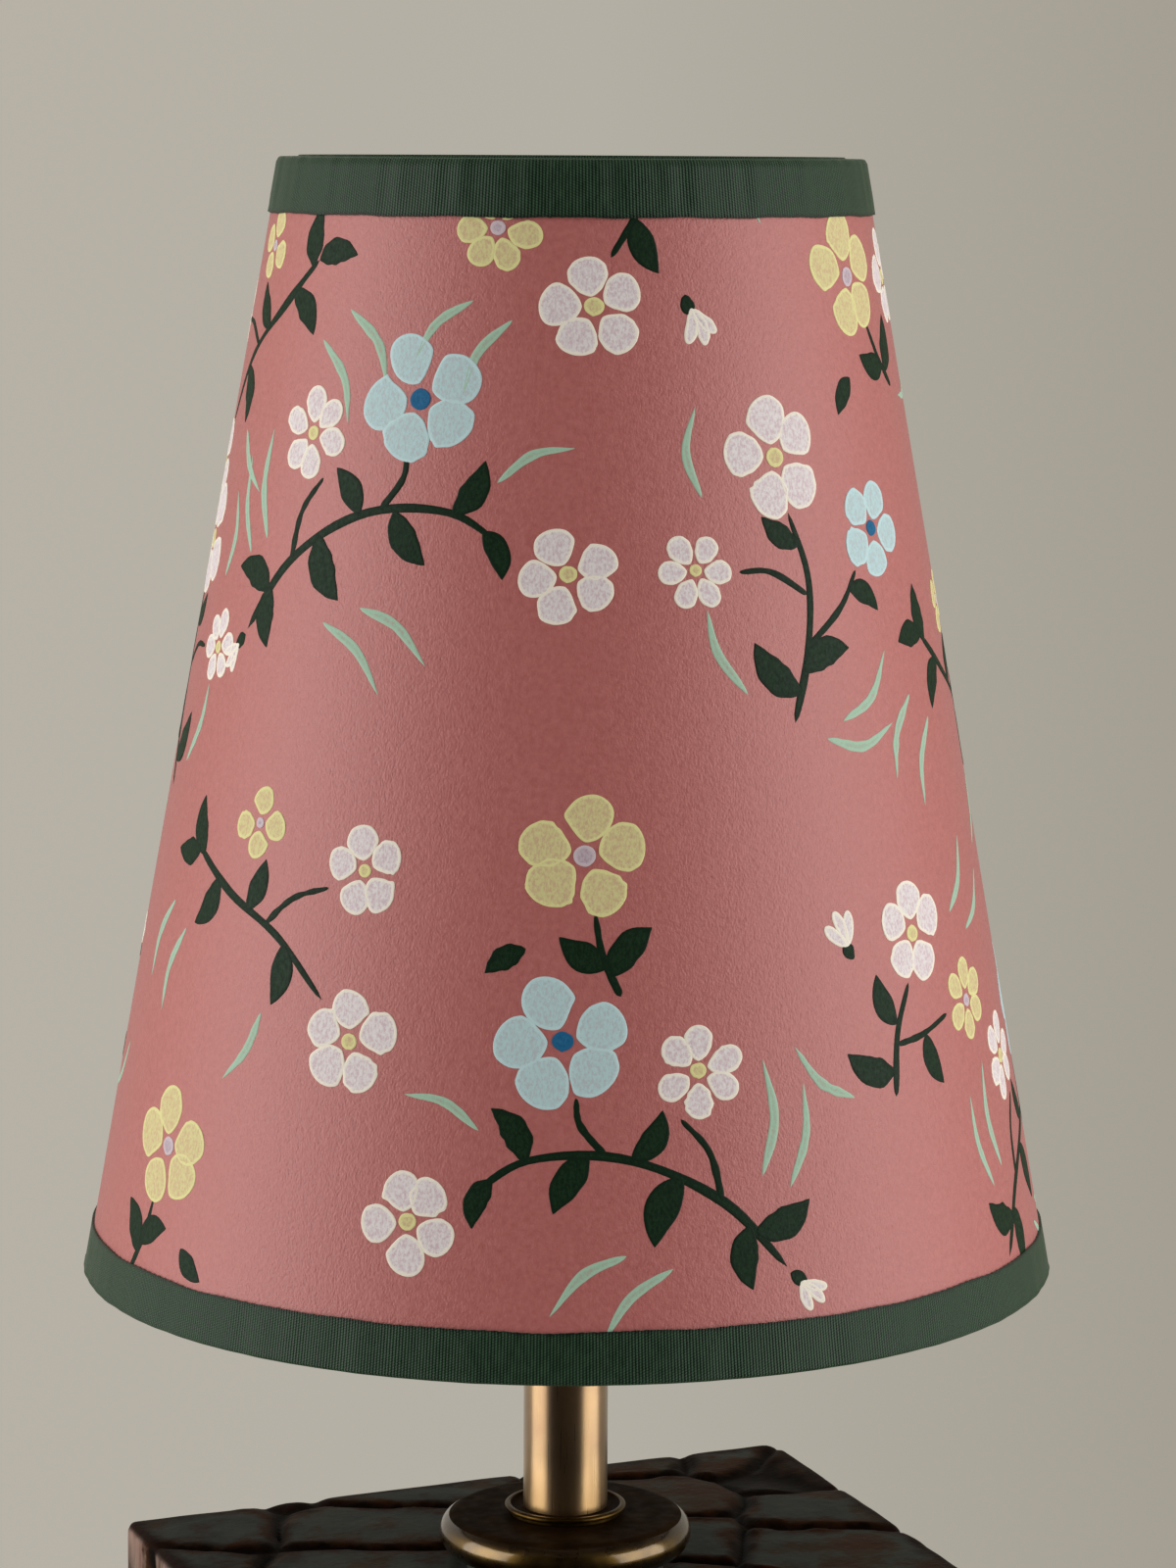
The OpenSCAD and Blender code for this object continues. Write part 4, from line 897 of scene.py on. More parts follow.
coated = finish("white coated wire", (232, 230, 224), 0.42)
mottle(coated, (4, 5, [(0.3, (222, 219, 211)), (0.7, (238, 236, 231))]), (1.5, 4, 0.34, 0.5),
       (0.8, 3, 0.03))
surface("welded_top_ring", *torus(TOP_RING_R, TOP_RING_Z, RING_D / 2), coated, "shade", ["top_ring"],
        "white_wire")
surface("welded_bottom_ring", *torus(LOW_RING_R, LOW_RING_Z, RING_D / 2, 288), coated, "shade",
        ["bottom_ring"], "white_wire")
points, faces = turned(rounded([
    (FITTER_HOLE_R, FITTER_Z, 0.2), (FITTER_LIP_R, FITTER_Z, 0.3), (FITTER_LIP_R, FITTER_LOW, 0.3),
    (FITTER_LIP_R + FITTER_T, FITTER_LOW, 0.3), (FITTER_LIP_R + FITTER_T, FITTER_Z + FITTER_T, 0.8),
    (FITTER_HOLE_R, FITTER_Z + FITTER_T, 0.3)]))
surface("pressed_fitter", points, faces, coated, "shade", ["fitter_ring"], "white_wire")

up_arm = np.array([math.cos(ARM_SLOPE), math.sin(ARM_SLOPE)])
arm_corner = np.array([TOP_RING_R, TOP_RING_Z]) - up_arm * (TOP_RING_Z - ARM_Z) / up_arm[1]
arm_end = np.array([TOP_RING_R, TOP_RING_Z]) - up_arm * (RING_D / 2 + 0.1)
flat_run = np.linspace([ARM_START_R, ARM_Z], arm_corner - [2.2, 0], 4)[:-1]
bend = cubic(arm_corner - [2.2, 0], arm_corner - [0.8, 0], arm_corner + 0.8 * up_arm,
             arm_corner + 2.2 * up_arm, 9)
slope_run = np.linspace(arm_corner + 2.2 * up_arm, arm_end, 10)[1:]
parts = [wire(np.concatenate([flat_run, bend, slope_run]), ARM_D / 2, t) for t in ARM_TURNS]
parts += [bead(*(arm_end + [-0.5, -0.2]), t, 1.75, 0.8) for t in ARM_TURNS]
parts += [bead(r, ARM_Z - 1.0, t, 1.7, 0.35) for t in ARM_TURNS for r in (35.6, 38.2)]
surface("welded_arms", *joined(parts), coated, "shade", ["fitter_arms"], "white_wire")

# Shade card
# A cone of pink paper laminated to a stiff white liner. It is rolled from one flat sheet, lapped
# and glued up the back, so its face waves a little and has one shallow step at the seam.
SHADE_Z, SHADE_TOP, SHADE_R, SHADE_SLOPE = 298.0, 525.0, 100.0, 40.8 / 227.0
CARD_GAP, CARD_T, CARD_AROUND, CARD_OUTER_ROWS, CARD_INNER_ROWS = 0.55, 0.8, 520, 84, 24
SEAM_AT, SEAM_LAP, SEAM_RISE, SHEET_WAVE = math.radians(75), math.radians(7), 0.3, 0.045


def seam_rise(turn):
    """Extra radius at the lapped seam: a sharp step, then a slow fall over the lap."""
    past = np.mod(turn - SEAM_AT, 2 * math.pi)
    return SEAM_RISE * np.clip(past / 0.0006, 0, 1) * np.clip(1 - (past / SEAM_LAP) ** 3, 0, 1)


def sheet_wave(turn, z):
    """Slow unevenness of the sheet: the product of waves round and up the cone."""
    return SHEET_WAVE * (
        np.sin(3 * turn + 0.02 * z) * np.sin(0.031 * z + 1)
        + 0.6 * np.sin(7 * turn - 0.035 * z + 2) + 0.4 * np.sin(11 * turn + 0.06 * z))


def card_radius(turn, z):
    """Radius of the card's outer face: a straight cone, plus its unevenness and its seam."""
    return (SHADE_R - CARD_GAP - (z - SHADE_Z) * SHADE_SLOPE + seam_rise(turn)
            + sheet_wave(turn, z))


card_turns = np.sort(np.concatenate([circle(CARD_AROUND),
                                     SEAM_AT + np.array([-2e-4, 2e-4, 8e-4, 3e-3])]))
card_low, card_high = SHADE_Z + CARD_GAP, SHADE_TOP - CARD_GAP
up = np.concatenate([np.linspace(card_low, card_high, CARD_OUTER_ROWS),
                     np.linspace(card_high, card_low, CARD_INNER_ROWS)])
into = np.concatenate([np.zeros(CARD_OUTER_ROWS), np.full(CARD_INNER_ROWS, CARD_T)])
turn, z = np.meshgrid(card_turns, up)
r = card_radius(turn, z) - into[:, None]
inside = np.broadcast_to((into > 0)[:, None], r.shape)

card = finish("pink paper card", (180, 99, 94), 0.5,
              sockets={"Specular IOR Level": 0.7, "Sheen Weight": 0.34, "Sheen Roughness": 0.34})
grain = reckon(card, "ADD", spots(card, 1.1, 5, harsh=0.62), spots(card, 0.4, 3, (1, 1, 1.7)))
tint = ramp(card, spots(card, 1.1, 6), [(0.3, (174, 92, 87)), (0.7, (186, 105, 100))])
liner = ramp(card, spots(card, 1.6, 5), [(0.3, (226, 220, 208)), (0.7, (236, 231, 220))])
feed(card, laid(card, attribute(card, "inside"), tint, liner), "Base Color")
feed(card, spread(card, grain, 0.42, 0.56, 0.7, 1.3), "Roughness")
feed(card, relief(card, grain, 0.13), "Normal")
surface("paper_cone", round_axis(r, turn, z), quads(*r.shape, True, True), card, "shade",
        ["shade_card"], "pink_card", {"inside": inside})

# Painted sprigs
# Flowers, leaves and blades of grass painted by hand on the card. The paint lies on the paper in
# strokes a tenth of a millimetre thick, with an opaque bead along each edge and a thin, streaky
# middle. Each stroke is drawn on the flat sheet and rolled onto the cone with it.
SLANT = math.sqrt(1 + SHADE_SLOPE ** 2)
PAINT_SINK, PAINT_LIFT, PAINT_RISE, RISE_W = 0.08, 0.02, 0.05, 0.12
BEAD_RISE, BEAD_AT, BEAD_W = 0.035, 0.28, 0.2
STROKE_ROWS, LINE_ROWS, BLADE_ROWS = 22, 30, 26
FRONT = math.radians(-90 - 21.84)


def on_cone(x, y, turn_0, up_0):
    """Rolls flat places, x to the right and y up the slant, onto the cone round an origin.

    On the flat sheet the cone is a sector: its distance from the tip stays, and angles at the
    tip are the cone's angles times slope over slant. Gives each point's turn and height.
    """
    tip = (SHADE_R - CARD_GAP) / SHADE_SLOPE * SLANT
    squeeze = SHADE_SLOPE / SLANT
    phi_0, s_0 = turn_0 * squeeze, tip - up_0
    px = s_0 * np.sin(phi_0) + x * np.cos(phi_0) - y * np.sin(phi_0)
    py = -s_0 * np.cos(phi_0) + x * np.sin(phi_0) + y * np.cos(phi_0)
    s = np.clip(np.hypot(px, py), tip - (card_high - SHADE_Z) * SLANT + 0.5, tip - 0.6 * SLANT)
    return np.arctan2(px, -py) / squeeze, SHADE_Z + (tip - s) / SLANT


def random_waves(turns, counts, rng):
    """A smooth random change: a sum of sine waves with these counts in a full turn."""
    return sum(rng.normal() * np.sin(k * turns + rng.uniform(0, 6.3)) for k in counts)


def wobble(count, amount, rng):
    """A small smooth random change along a stroke, the sum of three slow waves."""
    return 1 + amount * random_waves(np.linspace(0, 2 * math.pi, count), (2, 3, 5), rng)


def smooth_path(knots, count):
    """A curve through knots, a Catmull-Rom spline sampled evenly in its parameter."""
    p = np.asarray(knots, float)
    p = np.concatenate([[2 * p[0] - p[1]], p, [2 * p[-1] - p[-2]]])
    u = np.linspace(0, len(p) - 3 - 1e-9, count)
    k = u.astype(int)
    t = (u - k)[:, None]
    a, b, c, d = p[k], p[k + 1], p[k + 2], p[k + 3]
    return 0.5 * (2 * b + (c - a) * t + (2 * a - 5 * b + 4 * c - d) * t ** 2
                  + (3 * b - a - 3 * c + d) * t ** 3)


def brush(path, widths, place, across=13):
    """One stroke: the path widened by its widths, rolled onto the cone and lifted off the paper.

    Across the stroke the places follow a sine, closer at the edges. The lift is a bead at the
    edge that falls to a flat film; two more columns under the paper close the skin. Returns
    points, faces and each point's distance from the edge.
    """
    turn_0, up_0, spin, flip, over = place
    along = np.gradient(path, axis=0)
    along /= np.maximum(np.linalg.norm(along, axis=1, keepdims=True), 1e-9)
    side = np.stack([-along[:, 1], along[:, 0]], -1)
    w = np.sin(np.linspace(-math.pi / 2, math.pi / 2, across))
    flat = path[:, None] + side[:, None] * (w[None, :, None] * widths[:, None, None])
    outline = np.concatenate([flat[:, 0], flat[::-1, -1]])
    inset = np.sqrt(((flat.reshape(-1, 1, 2) - outline[None]) ** 2).sum(-1).min(1))
    inset = inset.reshape(flat.shape[:2])
    lift = (PAINT_RISE * (1 - np.exp(-inset / RISE_W))
            + BEAD_RISE * np.exp(-((inset - BEAD_AT) / BEAD_W) ** 2))
    flat = np.concatenate([flat, flat[:, -1:], flat[:, :1]], 1)
    lift = np.concatenate([lift + PAINT_LIFT + over, np.full((len(path), 2), -PAINT_SINK)], 1)
    inset = np.concatenate([inset, np.zeros((len(path), 2))], 1)
    x = flat[..., 0] * flip
    y = flat[..., 1]
    c, s = math.cos(spin), math.sin(spin)
    turn, z = on_cone(x * c - y * s, x * s + y * c, turn_0, up_0)
    r = card_radius(turn, z) + lift / SLANT
    z = z + lift * SHADE_SLOPE / SLANT
    return round_axis(r, turn, z), quads(*inset.shape, False, True), inset


def bowed(base, angle, length, bend):
    """Places along a stroke from a base at an angle, bowed sideways by half a sine, and the
    shares of its length at which they lie, closer at both ends."""
    t = (1 - np.cos(np.linspace(0, math.pi, STROKE_ROWS))) / 2
    x = t * length
    y = bend * np.sin(math.pi * t)
    return np.stack([base[0] + x * math.cos(angle) - y * math.sin(angle),
                     base[1] + x * math.sin(angle) + y * math.cos(angle)], -1), t


def petal(centre, angle, length, width, place, rng, skew=1.3):
    """A broad petal: an ellipse whose places along it are raised to a power, which sets its widest
    point past the middle."""
    path, t = bowed(centre, angle, length, rng.uniform(-0.12, 0.12) * length)
    widths = width * np.sqrt(t ** skew * (1 - t ** skew)) * wobble(STROKE_ROWS, 0.02, rng)
    return brush(path, np.maximum(widths, 0), place)


def leaf(base, angle, length, width, place, rng):
    """An almond leaf on a curved midrib: its half width is a sine that is widest below half."""
    path, t = bowed(base, angle, length, rng.uniform(0.06, 0.16) * length * rng.choice([-1, 1]))
    widths = 0.56 * width * np.sin(math.pi * t ** 0.85) ** 0.85 * wobble(STROKE_ROWS, 0.03, rng)
    return brush(path, np.maximum(widths, 0), place)


def line(knots, thick, place, rng):
    """A drawn line of paint: its half width thins by a third on the way, is rounded at both ends
    and a bit uneven."""
    path = smooth_path(knots, LINE_ROWS)
    t = np.linspace(0, 1, LINE_ROWS)
    ends = np.sqrt(np.clip(1 - (2 * t - 1) ** 8, 0, 1))
    widths = 0.62 * thick * ends * (1 - 0.35 * t) * wobble(LINE_ROWS, 0.05, rng)
    return brush(path, np.maximum(widths, 0), place, 7)


def blade(knots, thick, place, rng):
    """A blade of grass: one curved stroke whose half width is a sine, pointed at both ends."""
    path = smooth_path(knots, BLADE_ROWS)
    t = np.linspace(0, 1, BLADE_ROWS)
    widths = 0.68 * thick * np.sin(math.pi * t ** 0.8) ** 0.8 * wobble(BLADE_ROWS, 0.05, rng)
    return brush(path, np.maximum(widths, 0), place, 7)


# The order of painting: how far each colour's film lies over the one before, in millimetres
OVER = {"green": 0.0, "mint": 0.012, "white": 0.03, "blue": 0.03, "yellow": 0.03,
        "deep_blue": 0.05, "lilac": 0.05}
strokes = {kind: [] for kind in OVER}


def blossom(centre, size, kind, place, rng, petals):
    """A flower: round petals evenly about a round dot of another colour."""
    start = rng.uniform(0, 6.3)
    heart = {"white": "yellow", "blue": "deep_blue", "yellow": "lilac"}[kind]
    dot = 0.085 * size * rng.uniform(0.92, 1.1)
    wide = {4: 0.42, 5: 0.40, 6: 0.31}[petals]
    first = 0.115 * size
    for k in range(petals):
        angle = start + k * 2 * math.pi / petals + rng.uniform(-0.07, 0.07)
        at = (centre[0] + first * math.cos(angle), centre[1] + first * math.sin(angle))
        strokes[kind].append(petal(at, angle, 0.385 * size * rng.uniform(0.93, 1.05),
                                   wide * size * rng.uniform(0.93, 1.05), (*place, OVER[kind]), rng))
    strokes[heart].append(petal((centre[0] - dot, centre[1]), 0, 2 * dot, 1.9 * dot,
                                (*place, OVER[heart]), rng, 1))


def bud(base, angle, size, kind, place, rng):
    """A half-open bud: three narrow petals fanned from a green cup."""
    for off in (-0.5, 0.0, 0.5):
        strokes[kind].append(petal((base[0] + 1.2 * math.cos(angle), base[1] + 1.2 * math.sin(angle)),
                                   angle + off, size * (1 - 0.18 * abs(off)), 0.36 * size,
                                   (*place, OVER[kind]), rng))
    strokes["green"].append(leaf((base[0] - 1.6 * math.cos(angle), base[1] - 1.6 * math.sin(angle)),
                                 angle, 4.6, 2.6, (*place, OVER["green"]), rng))


def sprig(design, place, seed):
    """One painted sprig, drawn in millimetres about its middle: stems, leaves, flowers, grass."""
    rng = np.random.default_rng(seed)
    plan = SPRIGS[design]
    for knots, thick in plan["stems"]:
        strokes["green"].append(line(knots, thick, (*place, 0.0), rng))
    for x, y, angle, length, width in plan["leaves"]:
        strokes["green"].append(leaf((x, y), math.radians(angle), length, width, (*place, 0.008), rng))
    for x, y, size, kind, petals in plan["flowers"]:
        blossom((x, y), size, kind, place, rng, petals)
    for x, y, angle, size, kind in plan["buds"]:
        bud((x, y), math.radians(angle), size, kind, place, rng)
    for knots, thick in plan["grass"]:
        strokes["mint"].append(blade(knots, thick, (*place, OVER["mint"]), rng))


SPRIGS = {
    "arch": {
        "stems": [([(-31, -15), (-17, -3), (2, 4), (20, 3), (31, -4)], 1.7),
                  ([(-17, -3), (-14, 6), (-8, 12)], 1.3), ([(6, 4.5), (11, 10), (12, 15)], 1.3)],
        "leaves": [(-24, -8.5, 150, 13, 5.6), (-23, -7.5, 265, 12, 5.2), (-9, 1, 290, 14, 6),
                   (9, 4, 300, 12.5, 5.2), (21, 2.5, 55, 12, 4.8), (27, -1, 290, 10, 4.2),
                   (1, 4, 120, 11, 4.6)],
        "flowers": [(15, 25, 25, "blue", 5), (-11, 21, 18, "white", 6), (43, -10, 19, "white", 5)],
        "buds": [(-33, -17, 215, 6.5, "white")],
        "grass": [([(-31, 0), (-34, 10), (-33, 20)], 1.3), ([(-25, 2), (-27, 13), (-24, 24)], 1.5),
                  ([(30, 8), (37, 13), (45, 14)], 1.3), ([(-8, -16), (0, -22), (5, -31)], 1.4),
                  ([(1, -14), (9, -18), (15, -26)], 1.5)]},
    "fork": {
        "stems": [([(0, -28), (-2, -14), (-1, 0), (5, 12)], 1.6), ([(-2, -13), (-10, -4), (-14, 4)], 1.3),
                  ([(-1, -3), (8, 0), (15, -1)], 1.2)],
        "leaves": [(-1, -22, 35, 14, 5.8), (-1.5, -18, 150, 13, 5.4), (-12, 0, 195, 10, 4.2),
                   (2, 6, 25, 10, 4.2)],
        "flowers": [(9, 22, 23, "white", 5), (-19, 13, 19, "blue", 5), (24, -2, 15, "white", 6)],
        "buds": [],
        "grass": [([(-12, -26), (-20, -20), (-24, -10)], 1.4), ([(-8, -30), (-18, -30), (-27, -24)], 1.5),
                  ([(11, -24), (18, -17), (21, -9)], 1.4), ([(24, 12), (28, 20), (27, 29)], 1.3)]},
    "spray": {
        "stems": [([(-22, 8), (-8, 2), (8, -3), (22, -12)], 1.6), ([(4, -1.5), (10, 5), (18, 9)], 1.2)],
        "leaves": [(-20, 7, 110, 12, 5), (-13, 4, 240, 12, 5.2), (-2, 0, 75, 11, 4.6),
                   (10, -4, 270, 12, 5), (-22, 8, 190, 11, 4.8)],
        "flowers": [(30, -18, 20, "white", 5), (25, 14, 17, "white", 5), (-3, 17, 14, "yellow", 4)],
        "buds": [],
        "grass": [([(-30, -4), (-36, -12), (-37, -21)], 1.5), ([(-22, -8), (-27, -17), (-27, -26)], 1.4),
                  ([(8, -18), (6, -26), (1, -33)], 1.4)]},
    "posy": {
        "stems": [([(2, -20), (0, -12), (0, -4)], 1.4)],
        "leaves": [(1, -16, 40, 12, 5.4), (1, -14, 140, 11, 5), (-14, -8, 200, 9, 4)],
        "flowers": [(0, 7, 24, "yellow", 5)],
        "buds": [], "grass": []},
    "twin": {
        "stems": [([(-6, -22), (-5, -10), (-1, 0)], 1.5), ([(-5, -12), (3, -10), (12, -6)], 1.2)],
        "leaves": [(-6, -17, 165, 13, 5.4), (-5, -8, 120, 11, 4.8), (4, -10, 300, 11, 4.6)],
        "flowers": [(1, 10, 20, "white", 5), (21, -3, 17, "yellow", 6)],
        "buds": [(-17, 6, 120, 7.5, "white")],
        "grass": [([(16, 14), (22, 21), (24, 30)], 1.4), ([(24, 11), (31, 16), (35, 24)], 1.3),
                  ([(-17, -22), (-25, -19), (-31, -12)], 1.4)]},
}

# Degrees to the right of the photograph's front, millimetres up the slant, turn in degrees, flip
LAYOUT = [
    ("arch", -35, 158, 8, 1), ("fork", 38, 150, -12, -1), ("spray", -46, 84, -6, 1),
    ("posy", 3, 92, 10, 1), ("twin", 50, 70, -8, 1), ("arch", 8, 38, -4, -1),
    ("posy", -58, 28, -14, -1), ("twin", 6, 212, 172, 1), ("spray", -68, 196, 20, -1),
    ("posy", 62, 202, 30, 1), ("fork", -84, 130, 14, 1), ("spray", 82, 124, -12, 1),
    ("arch", 82, 30, 6, 1), ("twin", -98, 58, 10, -1),
    ("arch", 117, 189, 166, 1), ("posy", 122, 117, 129, -1), ("spray", 136, 50, -164, 1),
    ("fork", 146, 83, 80, 1), ("fork", 152, 142, 54, -1), ("arch", 185, 36, 33, -1),
    ("spray", 192, 197, 25, -1), ("spray", 203, 134, -28, 1), ("twin", 204, 80, -66, 1),
    ("posy", 221, 32, 155, 1), ("arch", 226, 183, -130, -1), ("fork", 244, 103, 156, 1),
]
for index, (design, turn_deg, up_mm, spin_deg, flip) in enumerate(LAYOUT):
    sprig(design, (FRONT + math.radians(turn_deg), up_mm, math.radians(spin_deg), flip), 100 + index)


def paint(name, bead, film, patch):
    """Opaque paint: a bead colour at the edge of a stroke and a streaky film inside it."""
    made = finish(name, bead, 0.55, sockets={"Specular IOR Level": 0.12})
    ragged = reckon(made, "ADD", attribute(made, "inset"),
                    spread(made, spots(made, 0.6, 4), -0.22, 0.22))
    film_share = spread(made, ragged, 0, 1, 0.5, 0.75)
    streak = ramp(made, spots(made, 0.5, 5, (1, 1, 1.8), 0.7), [(0.4, patch), (0.56, film)])
    feed(made, laid(made, film_share, bead, streak), "Base Color")
    feed(made, spread(made, spots(made, 0.8, 3), 0.46, 0.66), "Roughness")
    feed(made, relief(made, spots(made, 0.7, 4), 0.07), "Normal")
    return made


PAINTS = {
    "white": ((244, 236, 220), (232, 226, 224), (212, 190, 196)),
    "blue": ((194, 222, 224), (186, 216, 218), (184, 194, 198)),
    "yellow": ((226, 220, 156), (216, 208, 150), (206, 178, 140)),
    "green": ((14, 36, 20), (22, 48, 27), (12, 32, 17)),
    "mint": ((166, 198, 174), (158, 192, 168), (172, 170, 154)),
    "deep_blue": ((32, 100, 142), (26, 92, 134), (44, 108, 150)),
    "lilac": ((206, 190, 196), (196, 180, 190), (176, 156, 166)),
}
for kind in OVER:
    made = paint(kind.replace("_", " ") + " paint", *PAINTS[kind])
    surface("painted_" + kind, *joined([stroke[:2] for stroke in strokes[kind]]), made, "shade",
            layers={"inset": np.concatenate([inset.ravel() for _, _, inset in strokes[kind]])},
            crease=60)

# Ribbon trims
# Dark green ribbon, plain woven with a fine upright rib, folded over the shade's two edges and
# glued. Its cut edge on the face wavers a little and frays, and a dark line painted along it
# stands for the shadow that the edge casts on the card.
RIBBON_T, TRIM_TOP_H, TRIM_LOW_H, FOLD_H, RIB, PICK = 0.5, 11.0, 10.0, 6.0, 0.62, 0.52
FOLD_ROUND, GLUE_GAP, RIBBON_AROUND, HEM_H = 0.9, 0.05, 900, 3.0
HEM_WAVER, HEM_FRAY, CLOTH_PUFF = 0.06, 0.03, 0.035


def ribbon_face(z):
    """Radius of the ribbon's outer face at a height."""
    return SHADE_R - (z - SHADE_Z) * SHADE_SLOPE


def folded_ribbon(edge_z, fold_z, rim_z, fold_r, seed):
    """The ribbon as a closed grid, its section carried round the shade.

    The section runs up the face, over the rim in a round and down inside, then back along the
    ribbon's other face. Heights near the two cut edges waver with the turn. Gives points, faces
    and a place on the cloth for each point, along and across in millimetres.
    """
    way = 1 if rim_z > edge_z else -1
    r_rim = ribbon_face(rim_z)
    rise = np.concatenate([edge_z + way * np.array([0, 0.35, 0.8]),
                           np.linspace(edge_z + way * 1.6, rim_z - way * 0.9, 10)])
    outer = [np.stack([ribbon_face(rise), rise], -1)]
    bend = np.radians(np.linspace(10, 90, 6))
    corner_z = rim_z + way * (FOLD_ROUND * np.sin(bend) - FOLD_ROUND)
    outer.append(np.stack([r_rim - FOLD_ROUND + FOLD_ROUND * np.cos(bend), corner_z], -1))
    inner_r = fold_r - RIBBON_T
    outer.append(np.array([[(r_rim + inner_r) / 2, rim_z]]))
    outer.append(np.stack([inner_r + FOLD_ROUND - FOLD_ROUND * np.sin(bend[::-1]), corner_z[::-1]], -1))
    fall = np.linspace(rim_z - way * 1.4, fold_z, 5)
    outer.append(np.stack([np.full(5, inner_r), fall], -1))
    outer = np.concatenate(outer)
    step = np.gradient(outer, axis=0)
    step /= np.linalg.norm(step, axis=1, keepdims=True)
    inward = np.stack([-step[:, 1], step[:, 0]], -1) * way
    under = (outer + inward * RIBBON_T)[::-1]
    section = np.concatenate([outer, under])
    lengths = np.concatenate([[0], np.cumsum(np.linalg.norm(np.diff(outer, axis=0), axis=1))])
    across = np.concatenate([lengths, lengths[::-1]])
    turns = np.linspace(0, 2 * math.pi, RIBBON_AROUND + 1)
    rng = np.random.default_rng(seed)
    waver = random_waves(turns, (9, 17, 23, 41), rng) * HEM_WAVER
    fray = random_waves(turns, (160, 231, 301), rng) * HEM_FRAY
    puff = random_waves(turns, (31, 57, 83), rng) * CLOTH_PUFF
    off_edge = np.abs(section[:, 1:] - edge_z) / HEM_H
    z = section[:, 1:] + np.clip(1 - off_edge, 0, 1) * (waver + fray)
    r = (section[:, :1] + seam_rise(turns) + sheet_wave(turns, z)
         + puff * np.clip(off_edge, 0, 1))
    uv = np.stack(np.broadcast_arrays(turns * r_rim, across[:, None]), -1)
    return round_axis(r, turns, z), quads(*r.shape, True, False), uv


ribbon = finish("green woven ribbon", (31, 48, 34), 0.5, sockets={
    "Sheen Weight": 0.1, "Sheen Tint": (0.62, 1.0, 0.66, 1), "Specular IOR Level": 0.18})
cloth = add(ribbon, "SeparateXYZ", {"Vector": add(ribbon, "UVMap", {})["UV"]})
rib_phase = reckon(ribbon, "MULTIPLY", cloth["X"], 2 * math.pi / RIB)
rib = reckon(ribbon, "SINE", rib_phase)
pick_phase = reckon(ribbon, "MULTIPLY", cloth["Y"], 2 * math.pi / PICK)
pick = reckon(ribbon, "SINE", reckon(ribbon, "MULTIPLY_ADD", rib_phase, 0.5, pick_phase))
weave = reckon(ribbon, "MULTIPLY_ADD", pick, 0.45, rib)
slub = spots(ribbon, 1.0, 4, (1, 1, 3))
thread = reckon(ribbon, "MULTIPLY_ADD", weave, 0.22, spread(ribbon, slub, 0.44, 0.56))
tone = ramp(ribbon, thread, [(0.22, (6, 18, 9)), (0.5, (22, 43, 27)), (0.8, (56, 88, 62))])
# A darker line along each cut edge: painted shadow of the ribbon's edge on the card.
ragged_shadow_line = reckon(ribbon, "ADD", cloth["Y"], spread(ribbon, slub, -0.25, 0.25))
painted_edge_shadow = spread(ribbon, ragged_shadow_line, 0.8, 0, 0.15, 0.7)
feed(ribbon, laid(ribbon, painted_edge_shadow, tone, (12, 20, 13)), "Base Color")
feed(ribbon, spread(ribbon, slub, 0.34, 0.5), "Roughness")
feed(ribbon, relief(ribbon, reckon(ribbon, "MULTIPLY_ADD", weave, 0.25, 0.5), 0.12), "Normal")
for end, edge_z, rim_z, ring_r, seed in (
        ("top", SHADE_TOP - TRIM_TOP_H, SHADE_TOP, TOP_RING_R, 21),
        ("bottom", SHADE_Z + TRIM_LOW_H, SHADE_Z, LOW_RING_R, 22)):
    fold_z = rim_z - math.copysign(FOLD_H, rim_z - edge_z)
    points, faces, uv = folded_ribbon(edge_z, fold_z, rim_z, ring_r - RING_D / 2 - GLUE_GAP, seed)
    surface("ribbon_" + end, points, faces, ribbon, "shade", [end + "_trim"], "green_ribbon", uv=uv,
            crease=70)

# Studio
# A pale warm floor that fades into a warm background, painted darker towards the right for the
# light that falls off across it, two wide softboxes at the lamp's sides, and a dark screen round
# the camera that shows only in the metal.
CAMERA_FAR, CAMERA_Z, CAMERA_PIXELS = 0.9269, 0.5279, 4653.0
PITCH, AIM, ROLL = math.radians(8.0), math.radians(0.244), math.radians(0.314)
SENSOR_MM, PHOTO_HIGH = 36.0, 1600
SOFTBOX_FAR, SOFTBOX_Z, SOFTBOX_W, SOFTBOX_H, SOFTBOX_RADIANCE = 1.25, 0.55, 1.2, 1.5, 2.9
FLOOR_R, FADE_FROM, FADE_TO, BACKDROP_HALF = 0.7, 0.3, 0.68, 0.14
SCREEN_R, SCREEN_LOW, SCREEN_HIGH, SCREEN_COLUMNS = 1.6, -1.5, 2.2, 40

lens = bpy.data.cameras.new("camera")
lens.sensor_width = SENSOR_MM
lens.lens = CAMERA_PIXELS / PHOTO_HIGH * SENSOR_MM
lens.clip_start, lens.clip_end = 0.01, 50
camera = in_scene("camera", lens)
camera.location = (CAMERA_FAR * math.cos(FRONT), CAMERA_FAR * math.sin(FRONT), CAMERA_Z)
heading = FRONT + math.pi - AIM
ahead = Vector((math.cos(heading) * math.cos(PITCH), math.sin(heading) * math.cos(PITCH),
                -math.sin(PITCH)))
camera.rotation_mode = "QUATERNION"
camera.rotation_quaternion = (ahead.to_track_quat("-Z", "Y").to_matrix()
                              @ Matrix.Rotation(ROLL, 3, "Z")).to_quaternion()
bpy.context.scene.camera = camera
bpy.context.scene.view_settings.view_transform = "Standard"


